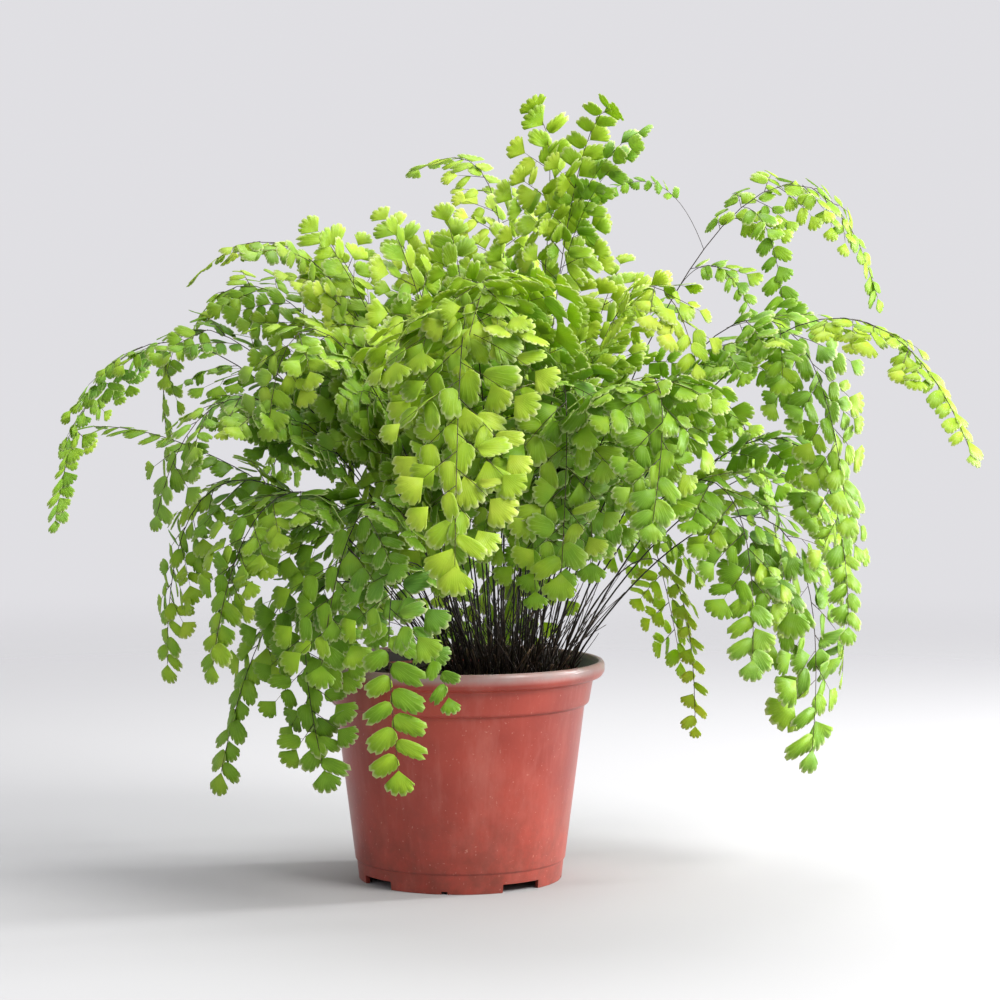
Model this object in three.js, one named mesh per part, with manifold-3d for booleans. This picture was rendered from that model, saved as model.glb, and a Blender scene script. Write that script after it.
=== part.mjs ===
// Potted maidenhair fern in a round plastic nursery pot.
// Millimetres, +Z up, origin on the ground at the pot's axis. The front faces -Y.
// Every frond is one closed solid: a square black stem that stands in a hole in the soil, arches
// over and carries side branches, each a thin arched blade cut to its rib into fan-shaped leaflets.

import * as THREE from "three";
import { mergeVertices } from "three/addons/utils/BufferGeometryUtils.js";
import Module from "manifold-3d";

const wasm = await Module();
wasm.setup();

const { cos, sin, min, max, floor, ceil, PI, hypot } = Math;
const DEGREE = PI / 180;
const UP = new THREE.Vector3(0, 0, 1);
const MERGE = 1e-4;

// Pot
const POT_HEIGHT = 106;
const LIP_RADIUS = 70;
const COLLAR_BOTTOM = 85.2;
const COLLAR_TOP = 97;
const BODY_TOP_RADIUS = 60.4;
const BODY_FOOT_RADIUS = 51;
const FOOT_RADIUS = 49.2;
const WALL = 1.4;
const FLOOR_UNDERSIDE = 4.5;
const FLOOR_TOP = 6.2;
const FOOT_RING_WALL = 1.9;
const POT_SIDES = 36;
const NOTCH = { count: 4, turn: 37 * DEGREE, width: 21, height: 4.1 };
const NICK = { count: 4, turn: -8 * DEGREE, width: 3, height: 1.4 };
const FOOT_CUT_DEPTH = 12;
const DRAIN = { count: 4, turn: 37 * DEGREE, radius: 4.5, circle: 37, length: 6, sides: 10 };
const POT_FINISH = { color: 0xa8483c, roughness: 0.45 };

// Soil, with the waves that lump its top: height, radians a millimetre along x and y, and phase.
const GAP = 0.3;
const SOIL_EDGE_HEIGHT = 97.6;
const SOIL_EDGE_RADIUS = 63.2;
const SOIL_CROWN = 2.6;
const SOIL_SIDES = 26;
const SOIL_RINGS = [54, 40, 26, 12, 0];
const SOIL_WAVES = [
  [0.5, 0.29, 0.24, 1.3],
  [0.5, 0.29, -0.24, 1.3],
  [0.8, 0.45, -0.41, 2],
];
const SOIL_FINISH = { color: 0x2b2019, roughness: 0.95 };

// Stems, and the crown that their feet stand in
const STEM_TOP_OF_FOOT = 103;
const STEM_FOOT = 20;
const STEM_HALF = 0.75;
const STEM_HALF_AT_TIP = 0.5;
const STEM_CLEARANCE = 2.5;
const STEM_SHIFT = 3;
const STEM_SHIFTS = 25;
const STEM_RISE = { out: 0.3, up: 0.7 };
const STEM_LOW_SHARES = [0, 0.13, 0.27];
const ARCH_SHARE = 0.6;
const HOLE_CLEARANCE = 0.35;
const HOLE_OVER_FOOT = 4;
const CROWN = { x: 22, y: 5, radius: 33, nearest: 0.18, lean: 0.75, spacing: 7.4, passes: 60 };

// Leaves, with lengths in millimetres on a frond of size 1
const LEAF_START = 0.42;
const BLADE_HALF = 0.32;
const RIB_HALF_WIDTH = 0.65;
const LEAFLET = 19;
const LEAFLET_RIM = [[-37, 0.92], [0, 1], [37, 0.92]];
const LEAFLET_BASE = 2.6;
const PAIR_PITCH = 16;
const BRANCH_STALK = 14;
const BRANCH_ROOM = 1.2;
const PAIR_ROOM = 0.65;
const ROOT_PLAY = 0.15;
const RIB_SAG = 0.0022;
const BRANCH_CLEARANCE = 0.3;
const OWN_STEM_TOUCH = 0.05;

// What varies from place to place, as [mean, scatter]. Angles are in degrees.
const FROND_SIZE = [1, 0.1];
const LEAFLET_SIZE = [1, 0.1];
const LEAFLET_SPREAD = [57, 7];
const LEAFLET_DIP = [14, 12];
const LEAFLET_ROLL = 16;
const END_DIP = 12;
const END_ROLL = [0, 10];
const BRANCH_ANGLE = [62, 6];
const BRANCH_ANGLE_LOSS = 16;
const BRANCH_DIP = [10, 10];
const BRANCH_ROLL = [0, 12];
const RING_TURN = [0.5, 0.22];
const RING_REACH = [1, 0.08];
const RING_LIFT = [0, 12];
const RING_ARCH = 0.62;
const RING_SEED = 100;
const RING_LIT = 0.4;
const FROND_HUE = [0.245, -0.02];
const FROND_LIGHTNESS = [0.3, 0.06];
const FROND_SATURATION = 0.68;
const FROND_ROUGHNESS = 0.5;

// What a frond bears from its lowest side branch to its tip: a number is an alternate side branch
// with that many pairs of leaflets and one at its end, and PAIR is two leaflets on the stem itself.
const PAIR = "pair";
const LONG = [2, 2, 1, 1, PAIR, PAIR];
const TRAILING = [1, 1, 1, PAIR, PAIR, PAIR];
const MIDDLE = [2, 1, 1, PAIR, PAIR];
const LEAN = [1, 1, 1, PAIR];
const SHORT = [1, 1, PAIR];
const NARROW = [1, PAIR, PAIR, PAIR, PAIR];

// Fronds measured on the plant: where each arch has run three fifths of its way, its tip, and how
// much it turns to the light in front.
const MEASURED = [
  { arch: [141, 30, 328], tip: [211, 60, 275], branches: TRAILING, lit: 0.3 },
  { arch: [155, -60, 266], tip: [224, -150, 205], branches: TRAILING, lit: 0.1 },
  { arch: [132, -40, 269], tip: [178, -80, 171], branches: MIDDLE, lit: 0.6 },
  { arch: [147, 6, 174], tip: [171, 10, 48], branches: MIDDLE, lit: 1.5 },
  { arch: [160, 60, 194], tip: [196, 90, 81], branches: MIDDLE, lit: 0.8 },
  { arch: [98, 40, 151], tip: [119, 70, 58], branches: LEAN, lit: 0.4 },
  { arch: [146, -30, 214], tip: [182, -50, 118], branches: MIDDLE, lit: 0.8 },
  { arch: [112, -70, 196], tip: [132, -104, 108], branches: LEAN, lit: 0.8 },
  { arch: [43, 10, 321], tip: [32, -10, 372], branches: MIDDLE, lit: 0.6 },
  { arch: [55, 0, 332], tip: [75, -30, 365], branches: MIDDLE, lit: -1.3 },
  { arch: [18, 70, 325], tip: [-29, 120, 346], branches: LONG, lit: 0.3 },
  { arch: [-65, 20, 292], tip: [-134, 30, 287], branches: MIDDLE, lit: 0.1 },
  { arch: [-142, 90, 259], tip: [-223, 166, 157], branches: TRAILING, lit: 0.1 },
  { arch: [-119, 60, 199], tip: [-199, 110, 215], branches: LEAN, lit: 0.2 },
  { arch: [-106, 0, 193], tip: [-143, 10, 94], branches: LEAN, lit: 0.2 },
  { arch: [-71, -20, 146], tip: [-114, -40, 47], branches: MIDDLE, lit: 0.5 },
  { arch: [-62, -52, 146], tip: [-60, -64, 52], branches: SHORT, lit: 1.5 },
  { arch: [-85, 40, 171], tip: [-129, 60, 88], branches: LEAN, lit: 0.1 },
  { arch: [-90, -30, 231], tip: [-142, -52, 171], branches: LEAN, lit: 0.4 },
  { arch: [-74, -56, 190], tip: [-112, -88, 104], branches: LEAN, lit: 0.3 },
  { arch: [-36, -64, 186], tip: [-62, -100, 104], branches: SHORT, lit: 0.8 },
  { arch: [-25, -90, 158], tip: [-25, -105, 57], branches: NARROW, lit: 1 },
  { arch: [6, -90, 273], tip: [0, -168, 152], branches: LONG, lit: 0 },
  { arch: [46, -90, 242], tip: [46, -110, 146], branches: MIDDLE, lit: 0 },
  { arch: [82, -100, 242], tip: [84, -140, 171], branches: MIDDLE, lit: 0 },
  { arch: [-112, 20, 261], tip: [-145, 30, 211], branches: LEAN, lit: 0.6 },
  { arch: [-80, 40, 275], tip: [-137, 60, 262], branches: LEAN, lit: 0.6 },
  { arch: [-58, -30, 260], tip: [-88, -60, 214], branches: LEAN, lit: 0.8 },
  { arch: [-41, 10, 267], tip: [-65, -10, 310], branches: LEAN, lit: 1.5 },
  { arch: [-17, -10, 272], tip: [-34, -20, 317], branches: LEAN, lit: 1.5 },
  { arch: [1, 30, 267], tip: [-10, 40, 314], branches: LEAN, lit: 1.5 },
  { arch: [66, 20, 265], tip: [81, 40, 300], branches: LEAN, lit: 0.6 },
];

// Rings of fronds that fill the crown between the measured ones, mostly behind, where none was
// measured: degrees anticlockwise from +X that they start at and span, reach from the crown to the
// tip, and the heights of the arch and the tip.
const RINGS = [
  { count: 3, start: 200, span: 270, reach: 122, arch: 268, tip: 232, branches: LEAN },
  { count: 4, start: 5, span: 160, reach: 160, arch: 226, tip: 150, branches: MIDDLE },
  { count: 3, start: 25, span: 130, reach: 128, arch: 182, tip: 84, branches: LEAN },
];

// Repeatable scatter between -1 and 1 for a frond's number and a use's number.
function scatter(frond, use) {
  const wave = sin(frond * 127.1 + use * 311.7) * 43758.5453;
  return 2 * (wave - floor(wave)) - 1;
}

function varied([mean, most], frond, use) {
  return mean + most * scatter(frond, use);
}

function vector(x, y, z) {
  return new THREE.Vector3(x, y, z);
}

function along(origin, ...steps) {
  const point = origin.clone();
  for (const [direction, distance] of steps) point.addScaledVector(direction, distance);
  return point;
}

// A closed mesh as a solid for joining, cutting and testing.
function solidOf(geometry) {
  const bare = geometry.clone();
  bare.deleteAttribute("normal");
  bare.deleteAttribute("uv");
  const merged = mergeVertices(bare, MERGE);
  return new wasm.Manifold(
    new wasm.Mesh({
      numProp: 3,
      vertProperties: merged.attributes.position.array,
      triVerts: new Uint32Array(merged.index.array),
    }),
  );
}

function geometryOf(solid) {
  const mesh = solid.getMesh();
  const positions = new Float32Array(mesh.numVert * 3);
  for (let i = 0; i < mesh.numVert; i += 1) {
    positions.set(mesh.vertProperties.subarray(i * mesh.numProp, i * mesh.numProp + 3), i * 3);
  }
  return new THREE.BufferGeometry()
    .setAttribute("position", new THREE.BufferAttribute(positions, 3))
    .setIndex(new THREE.BufferAttribute(mesh.triVerts, 1));
}

// Turns a profile of [radius, height] round the vertical axis.
function turned(profile, sides) {
  const points = profile.map(([radius, height]) => new THREE.Vector2(radius, height));
  return new THREE.LatheGeometry(points, sides).rotateX(PI / 2);
}

// Inner face of the pot's wall from the floor up, as [radius, height].
function potInside() {
  return [
    [BODY_FOOT_RADIUS - WALL - 0.9, FLOOR_TOP],
    [BODY_TOP_RADIUS - WALL, COLLAR_BOTTOM - 1],
    [BODY_TOP_RADIUS + 0.7, COLLAR_BOTTOM + 1.3],
    [BODY_TOP_RADIUS + 2.7, COLLAR_TOP - 0.5],
    [LIP_RADIUS - 3.4, POT_HEIGHT - 2],
  ];
}

function potProfile() {
  return [
    [0, FLOOR_UNDERSIDE],
    [FOOT_RADIUS - FOOT_RING_WALL, FLOOR_UNDERSIDE],
    [FOOT_RADIUS - FOOT_RING_WALL, 0],
    [FOOT_RADIUS, 0],
    [FOOT_RADIUS + 1.1, 9.2],
    [BODY_FOOT_RADIUS, 10],
    [BODY_TOP_RADIUS, COLLAR_BOTTOM - 0.6],
    [BODY_TOP_RADIUS + 1.5, COLLAR_BOTTOM],
    [BODY_TOP_RADIUS + 2.2, COLLAR_BOTTOM + 0.9],
    [BODY_TOP_RADIUS + 4.1, COLLAR_TOP],
    [LIP_RADIUS - 1.5, COLLAR_TOP + 1.4],
    [LIP_RADIUS, COLLAR_TOP + 3.6],
    [LIP_RADIUS, POT_HEIGHT - 1.8],
    [LIP_RADIUS - 0.7, POT_HEIGHT - 0.5],
    [LIP_RADIUS - 1.8, POT_HEIGHT],
    [LIP_RADIUS - 2.9, POT_HEIGHT - 0.5],
    ...potInside().reverse(),
    [0, FLOOR_TOP],
  ];
}

// Blocks set round the foot ring to cut its notches out.
function footCutters({ count, turn, width, height }) {
  const cutters = [];
  for (let i = 0; i < count; i += 1) {
    const block = new THREE.BoxGeometry(width, FOOT_CUT_DEPTH, 2 * height);
    block.translate(0, -FOOT_RADIUS, 0).rotateZ(turn + (i * 2 * PI) / count);
    cutters.push(solidOf(block));
  }
  return cutters;
}

function drainCutters({ count, turn, radius, circle, length, sides }) {
  const cutters = [];
  for (let i = 0; i < count; i += 1) {
    const hole = new THREE.CylinderGeometry(radius, radius, length, sides).rotateX(PI / 2);
    hole.translate(0, -circle, FLOOR_UNDERSIDE).rotateZ(turn + (i * 2 * PI) / count);
    cutters.push(solidOf(hole));
  }
  return cutters;
}

function makePot() {
  let pot = solidOf(turned(potProfile(), POT_SIDES));
  for (const cutter of [...footCutters(NOTCH), ...footCutters(NICK), ...drainCutters(DRAIN)]) {
    pot = pot.subtract(cutter);
  }
  return pot;
}

// Height of the soil's lumps above its smooth crown, less towards the pot's wall.
function soilLumps(x, y) {
  const fade = max(0, 1 - (hypot(x, y) / SOIL_EDGE_RADIUS) ** 4);
  let lumps = 0;
  for (const [height, alongX, alongY, phase] of SOIL_WAVES) {
    lumps += fade * height * sin(alongX * x + alongY * y + phase);
  }
  return lumps;
}

function makeSoil(fronds) {
  const wall = potInside().slice(0, -1).map(([radius, height]) => [radius - GAP, height]);
  wall[0][1] += GAP;
  const rings = SOIL_RINGS.map((radius) => [
    radius,
    SOIL_EDGE_HEIGHT + SOIL_CROWN * (1 - (radius / SOIL_EDGE_RADIUS) ** 2),
  ]);
  const body = turned(
    [[0, wall[0][1]], ...wall, [SOIL_EDGE_RADIUS, SOIL_EDGE_HEIGHT], ...rings],
    SOIL_SIDES,
  );
  const points = body.attributes.position;
  for (let i = 0; i < points.count; i += 1) {
    if (points.getZ(i) < SOIL_EDGE_HEIGHT) continue;
    points.setZ(i, points.getZ(i) + soilLumps(points.getX(i), points.getY(i)));
  }
  let soil = solidOf(body);
  for (const frond of fronds) soil = soil.subtract(stemHole(frond));
  return soil;
}

// A thin solid that grows from station to station. An edge is a vertical pair of its corners, top
// and bottom, and a station is a left and a right edge across the direction of growth.
class Lamina {
  constructor() {
    this.corners = [];
    this.faces = [];
  }

  edge(point, normal, half) {
    const top = along(point, [normal, half]);
    const bottom = along(point, [normal, -half]);
    this.corners.push(...top.toArray(), ...bottom.toArray());
    const last = this.corners.length / 3 - 1;
    return { top: last - 1, bottom: last, at: point };
  }

  station(frame, halfWidth, half) {
    return {
      left: this.edge(along(frame.at, [frame.side, -halfWidth]), frame.normal, half),
      right: this.edge(along(frame.at, [frame.side, halfWidth]), frame.normal, half),
    };
  }

  // A side wall between two edges, in anticlockwise order round the top face.
  wall(from, to) {
    this.faces.push(from.top, from.bottom, to.bottom, from.top, to.bottom, to.top);
  }

  // The top and bottom faces of one triangle of the blade, split alike.
  sheet(a, b, c) {
    this.faces.push(a.top, b.top, c.top, a.bottom, c.bottom, b.bottom);
  }

  // The stretch between two stations. It returns the roots at its sides, each seen outwards.
  stretch(from, to) {
    this.sheet(from.left, from.right, to.right);
    this.sheet(from.left, to.right, to.left);
    return {
      left: { left: from.left, right: to.left },
      right: { left: to.right, right: from.right },
    };
  }

  close(root) {
    this.wall(root.right, root.left);
  }

  // A fan from a root round its rim, which runs from the root's right to its left.
  fan(root, rim) {
    const middle = floor(rim.length / 2);
    for (let i = 0; i < middle; i += 1) this.sheet(root.right, rim[i], rim[i + 1]);
    this.sheet(root.right, rim[middle], root.left);
    for (let i = middle; i < rim.length - 1; i += 1) this.sheet(root.left, rim[i], rim[i + 1]);
    const outline = [root.right, ...rim, root.left];
    for (let i = 0; i < outline.length - 1; i += 1) this.wall(outline[i], outline[i + 1]);
  }

  geometry() {
    return new THREE.BufferGeometry()
      .setAttribute("position", new THREE.Float32BufferAttribute(this.corners, 3))
      .setIndex(this.faces);
  }
}

// A frame has a place, the direction ahead, the side to the right and the upward normal.
function frameAt(at, ahead, normalHint) {
  const side = ahead.clone().cross(normalHint).normalize();
  const normal = side.clone().cross(ahead).normalize();
  return { at, ahead, side, normal };
}

// A frame turned left in its plane, then dipped below it, then rolled with its left side raised.
function turnedFrame({ at, ahead, side, normal }, left, dip, roll) {
  const level = along(vector(0, 0, 0), [ahead, cos(left)], [side, -sin(left)]);
  const direction = along(vector(0, 0, 0), [level, cos(dip)], [normal, -sin(dip)]).normalize();
  const flat = frameAt(at, direction, normal);
  const raised = along(vector(0, 0, 0), [flat.normal, cos(roll)], [flat.side, sin(roll)]);
  return frameAt(at, direction, raised);
}

function addLeaflet(lamina, root, frame, length) {
  const rim = LEAFLET_RIM.map(([angle, reach]) => {
    const turn = angle * DEGREE;
    const point = along(
      frame.at,
      [frame.ahead, length * reach * cos(turn)],
      [frame.side, -length * reach * sin(turn)],
    );
    return lamina.edge(point, frame.normal, BLADE_HALF);
  });
  lamina.fan(root, rim);
}

// The frame a distance along a rib that sags under its weight.
function ribFrame(start, distance) {
  const at = along(start.at, [start.ahead, distance], [UP, -RIB_SAG * distance * distance]);
  const ahead = along(start.ahead, [UP, -2 * RIB_SAG * distance]).normalize();
  return frameAt(at, ahead, start.normal);
}

// A side branch: a rib with pairs of leaflets along it and one leaflet at its end.
function addBranch(lamina, root, start, { pairs, size, seed }) {
  const leaflet = LEAFLET * size;
  let distance = BRANCH_STALK * size;
  let station = root;
  const grow = (to) => {
    const next = lamina.station(ribFrame(start, to), RIB_HALF_WIDTH, BLADE_HALF);
    const roots = lamina.stretch(station, next);
    station = next;
    return roots;
  };
  for (let i = 0; i < pairs; i += 1) {
    const bare = grow(distance);
    lamina.close(bare.left);
    lamina.close(bare.right);
    const roots = grow(distance + LEAFLET_BASE);
    const middle = ribFrame(start, distance + LEAFLET_BASE / 2);
    for (const [way, name] of [[1, "left"], [-1, "right"]]) {
      const spread = varied(LEAFLET_SPREAD, seed, i * 2 + way) * DEGREE;
      const dip = varied(LEAFLET_DIP, seed, 10 + i * 2 + way) * DEGREE;
      const outward = turnedFrame(middle, way * spread, dip, -way * LEAFLET_ROLL * DEGREE);
      const length = leaflet * varied(LEAFLET_SIZE, seed, 20 + i + way);
      addLeaflet(lamina, roots[name], outward, length);
    }
    distance += PAIR_PITCH * size;
  }
  const bare = grow(distance);
  lamina.close(bare.left);
  lamina.close(bare.right);
  const roll = varied(END_ROLL, seed, 30) * DEGREE;
  const end = turnedFrame(ribFrame(start, distance), 0, END_DIP * DEGREE, roll);
  addLeaflet(lamina, station, end, leaflet);
}

// The stem's line: a Bezier curve from the top of its foot to the tip, with its second control
// point placed so that the curve passes through the arch.
function stemCurve(frond) {
  const foot = vector(...frond.base, STEM_TOP_OF_FOOT);
  const arch = vector(...frond.arch);
  const tip = vector(...frond.tip);
  const rise = vector(STEM_RISE.out, STEM_RISE.out, STEM_RISE.up).multiply(arch.clone().sub(foot));
  const first = foot.clone().add(rise);
  const rest = 1 - ARCH_SHARE;
  const second = along(
    arch,
    [foot, -(rest ** 3)],
    [first, -3 * rest ** 2 * ARCH_SHARE],
    [tip, -(ARCH_SHARE ** 3)],
  ).divideScalar(3 * rest * ARCH_SHARE ** 2);
  return new THREE.CubicBezierCurve3(foot, first, second, tip);
}

// The stem's frame at a share of its length. Towards the tip it turns to the light in front.
function stemFrame(frond, share) {
  const { curve, heading } = frond;
  const side = vector(heading.y, -heading.x, 0);
  const ahead = curve.getTangentAt(share);
  const lit = frond.lit * share * heading.x;
  return frameAt(curve.getPointAt(share), ahead, along(side.clone().cross(ahead), [side, lit]));
}

// Shares of the curve's length where a frond's stem has a station.
function stemShares(frond) {
  const shares = [...STEM_LOW_SHARES];
  for (const root of frond.roots) shares.push(root.from, root.to);
  shares.push(frond.end);
  return shares;
}

function stemHalf(share) {
  return STEM_HALF + (STEM_HALF_AT_TIP - STEM_HALF) * share;
}

function footFrame(frond, height) {
  const side = vector(frond.heading.y, -frond.heading.x, 0);
  return frameAt(vector(...frond.base, height), UP, side.clone().cross(UP));
}

// The stem's stations from the bottom of its foot to the end of the curve.
function addStemStations(lamina, frond) {
  const foot = footFrame(frond, STEM_TOP_OF_FOOT - STEM_FOOT);
  const stations = [lamina.station(foot, STEM_HALF, STEM_HALF)];
  for (const share of stemShares(frond)) {
    const half = stemHalf(share);
    stations.push(lamina.station(stemFrame(frond, share), half, half));
  }
  return stations;
}

// The bare stem as a solid of its own, for tests.
function bareStem(frond) {
  const lamina = new Lamina();
  const stations = addStemStations(lamina, frond);
  lamina.close({ left: stations[0].right, right: stations[0].left });
  for (let i = 1; i < stations.length; i += 1) {
    const sides = lamina.stretch(stations[i - 1], stations[i]);
    lamina.close(sides.left);
    lamina.close(sides.right);
  }
  lamina.close(stations.at(-1));
  return solidOf(lamina.geometry());
}

function stemHole(frond) {
  const lamina = new Lamina();
  const half = STEM_HALF + HOLE_CLEARANCE;
  const bottom = lamina.station(
    footFrame(frond, STEM_TOP_OF_FOOT - STEM_FOOT - HOLE_CLEARANCE),
    half,
    half,
  );
  const top = lamina.station(footFrame(frond, STEM_TOP_OF_FOOT + HOLE_OVER_FOOT), half, half);
  lamina.close({ left: bottom.right, right: bottom.left });
  const sides = lamina.stretch(bottom, top);
  lamina.close(sides.left);
  lamina.close(sides.right);
  lamina.close(top);
  return solidOf(lamina.geometry());
}

// Where each branch or pair leaves the stem, by share of its length, and what it bears.
function stemRoots(frond) {
  const length = frond.curve.getLength();
  const end = 1 - (LEAFLET * frond.size) / length;
  const rooms = frond.branches.map((bears) => (bears === PAIR ? PAIR_ROOM : BRANCH_ROOM));
  const room = (end - LEAF_START) / rooms.reduce((sum, next) => sum + next, 0);
  let at = LEAF_START;
  const roots = frond.branches.map((bears, i) => {
    const from = at + room * varied([ROOT_PLAY, ROOT_PLAY], frond.number, 40 + i);
    const single = (i + frond.number) % 2 ? "right" : "left";
    const sides = bears === PAIR ? ["left", "right"] : [single];
    at += room * rooms[i];
    return { bears, from, to: from + LEAFLET_BASE / length, sprouts: sides.map((side) => ({ side })) };
  });
  return { roots, end };
}

// Ways to bend a sprout that meets something: tilt about its root in degrees, and size.
const BENDS = [
  [0, 1], [13, 1], [-13, 1], [26, 1], [-26, 1], [0, 0.82], [18, 0.82], [-18, 0.82],
  [36, 0.82], [-36, 0.82], [0, 0.66], [24, 0.66], [-24, 0.66], [48, 0.66], [-48, 0.66],
];

// Grows a side branch, or one leaflet of a pair, from its root on the stem.
function addSprout(lamina, root, frond, index, { side, bend: [tilt, size] }) {
  const { number, roots } = frond;
  const { bears, from, to } = roots[index];
  const seed = number * 7 + index;
  const way = side === "left" ? 1 : -1;
  const angle = varied(BRANCH_ANGLE, seed, 50 + way) - (BRANCH_ANGLE_LOSS * index) / roots.length;
  const dip = varied(BRANCH_DIP, seed, 60 + way) + tilt;
  const roll = varied(BRANCH_ROLL, seed, 70 + way);
  const middle = stemFrame(frond, (from + to) / 2);
  const start = turnedFrame(middle, way * angle * DEGREE, dip * DEGREE, roll * DEGREE);
  start.at = along(middle.at, [middle.side, -way * stemHalf(from)]);
  const grown = frond.size * size;
  if (bears === PAIR) addLeaflet(lamina, root, start, LEAFLET * grown);
  else addBranch(lamina, root, start, { pairs: bears, size: grown, seed });
}

// A sprout as a solid of its own, for tests, with its root closed.
function looseSprout(frond, index, sprout) {
  const lamina = new Lamina();
  const [near, far] = ["from", "to"].map((name) => {
    const share = frond.roots[index][name];
    return lamina.station(stemFrame(frond, share), stemHalf(share), stemHalf(share));
  });
  const root =
    sprout.side === "left"
      ? { left: near.left, right: far.left }
      : { left: far.right, right: near.right };
  lamina.close({ left: root.right, right: root.left });
  addSprout(lamina, root, frond, index, sprout);
  return solidOf(lamina.geometry());
}

function addEndLeaflet(lamina, station, frond, { bend: [dip, size] }) {
  const frame = turnedFrame(stemFrame(frond, frond.end), 0, dip * DEGREE, 0);
  addLeaflet(lamina, station, frame, LEAFLET * frond.size * size);
}

function looseEndLeaflet(frond, sprout) {
  const lamina = new Lamina();
  const half = stemHalf(frond.end);
  const root = lamina.station(stemFrame(frond, frond.end), half, half);
  lamina.close({ left: root.right, right: root.left });
  addEndLeaflet(lamina, root, frond, sprout);
  return solidOf(lamina.geometry());
}

function boxesMeet(a, b, margin) {
  return [0, 1, 2].every((k) => a.min[k] < b.max[k] + margin && b.min[k] < a.max[k] + margin);
}

// Keeps what has been placed and tells whether a new solid is clear of it.
class Space {
  constructor() {
    this.placed = [];
  }

  add(solid, owner) {
    this.placed.push({ solid, box: solid.boundingBox(), owner });
  }

  // A sprout touches its own stem at its root, and must not run through it.
  isClear(solid, owner) {
    const box = solid.boundingBox();
    return this.placed.every((other) => {
      if (!boxesMeet(box, other.box, BRANCH_CLEARANCE)) return true;
      if (other.owner === owner) return solid.intersect(other.solid).volume() < OWN_STEM_TOUCH;
      return solid.minGap(other.solid, 2 * BRANCH_CLEARANCE) >= BRANCH_CLEARANCE;
    });
  }

  // Bends a sprout until it is clear, and tells whether it found room.
  settle(sprout, owner, grow) {
    return BENDS.some((bend) => {
      sprout.bend = bend;
      const solid = grow(sprout);
      if (!this.isClear(solid, owner)) return false;
      this.add(solid, null);
      return true;
    });
  }
}

// Bends every sprout clear of what is placed, and leaves out one that has no room at all.
function settleSprouts(frond, space) {
  frond.roots.forEach((root, index) => {
    root.sprouts = root.sprouts.filter((sprout) =>
      space.settle(sprout, frond.number, () => looseSprout(frond, index, sprout)),
    );
  });
}

function settleEndLeaflet(frond, space) {
  const sprout = {};
  const found = space.settle(sprout, frond.number, () => looseEndLeaflet(frond, sprout));
  frond.endSprout = found ? sprout : null;
}

function makeFrond(frond) {
  const lamina = new Lamina();
  const stations = addStemStations(lamina, frond);
  const firstRoot = stations.length - 2 * frond.roots.length - 1;
  lamina.close({ left: stations[0].right, right: stations[0].left });
  for (let i = 1; i < stations.length; i += 1) {
    const sides = lamina.stretch(stations[i - 1], stations[i]);
    const index = (i - 1 - firstRoot) / 2;
    const sprouts = frond.roots[index]?.sprouts ?? [];
    for (const side of ["left", "right"]) {
      const sprout = sprouts.find((one) => one.side === side);
      if (sprout) addSprout(lamina, sides[side], frond, index, sprout);
      else lamina.close(sides[side]);
    }
  }
  if (frond.endSprout) addEndLeaflet(lamina, stations.at(-1), frond, frond.endSprout);
  else lamina.close(stations.at(-1));
  return lamina.geometry();
}

// The ring fronds as rows like the measured ones.
function ringFronds() {
  const rows = [];
  for (const ring of RINGS) {
    for (let i = 0; i < ring.count; i += 1) {
      const seed = RING_SEED + rows.length;
      const step = i + varied(RING_TURN, seed, 1);
      const turn = (ring.start + (ring.span * step) / ring.count) * DEGREE;
      const reach = ring.reach * varied(RING_REACH, seed, 2);
      const lift = varied(RING_LIFT, seed, 3);
      const out = (share, height) => [
        CROWN.x + reach * share * cos(turn),
        CROWN.y + reach * share * sin(turn),
        height + lift,
      ];
      const arch = out(RING_ARCH, ring.arch);
      rows.push({ arch, tip: out(1, ring.tip), branches: ring.branches, lit: RING_LIT });
    }
  }
  return rows;
}

// A frond's foot in the crown: the flatter it leans, the further out it stands.
function crownFoot({ arch }) {
  const x = arch[0] - CROWN.x;
  const y = arch[1] - CROWN.y;
  const far = hypot(x, y);
  const lean = far / (arch[2] - STEM_TOP_OF_FOOT);
  const out = (CROWN.radius * min(1, CROWN.nearest + CROWN.lean * lean)) / far;
  return [CROWN.x + out * x, CROWN.y + out * y];
}

// Moves feet apart that stand too close.
function spreadFeet(fronds) {
  for (let pass = 0; pass < CROWN.passes; pass += 1) {
    fronds.forEach(({ base: a }, i) => {
      for (const { base: b } of fronds.slice(i + 1)) {
        const x = b[0] - a[0];
        const y = b[1] - a[1];
        const apart = hypot(x, y);
        if (apart >= CROWN.spacing) continue;
        const push = (CROWN.spacing - apart) / apart / 2;
        a[0] -= x * push;
        a[1] -= y * push;
        b[0] += x * push;
        b[1] += y * push;
      }
    });
  }
}

// Shortest distance between two straight stretches, each a pair of points.
function stretchDistance([a, b], [c, d]) {
  const u = b.clone().sub(a);
  const v = d.clone().sub(c);
  const w = a.clone().sub(c);
  const uu = u.dot(u);
  const uv = u.dot(v);
  const vv = v.dot(v);
  const uw = u.dot(w);
  const vw = v.dot(w);
  const clamp = (value) => min(1, max(0, value));
  const determinant = uu * vv - uv * uv;
  let s = determinant > 1e-9 ? clamp((uv * vw - vv * uw) / determinant) : 0;
  const t = clamp((uv * s + vw) / vv);
  s = clamp((uv * t - uw) / uu);
  return along(w, [u, s], [v, -t]).length();
}

function stemStretches(frond) {
  const points = [vector(...frond.base, STEM_TOP_OF_FOOT - STEM_FOOT)];
  for (const share of stemShares(frond)) points.push(frond.curve.getPointAt(share));
  return points.slice(1).map((point, i) => [points[i], point]);
}

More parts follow.
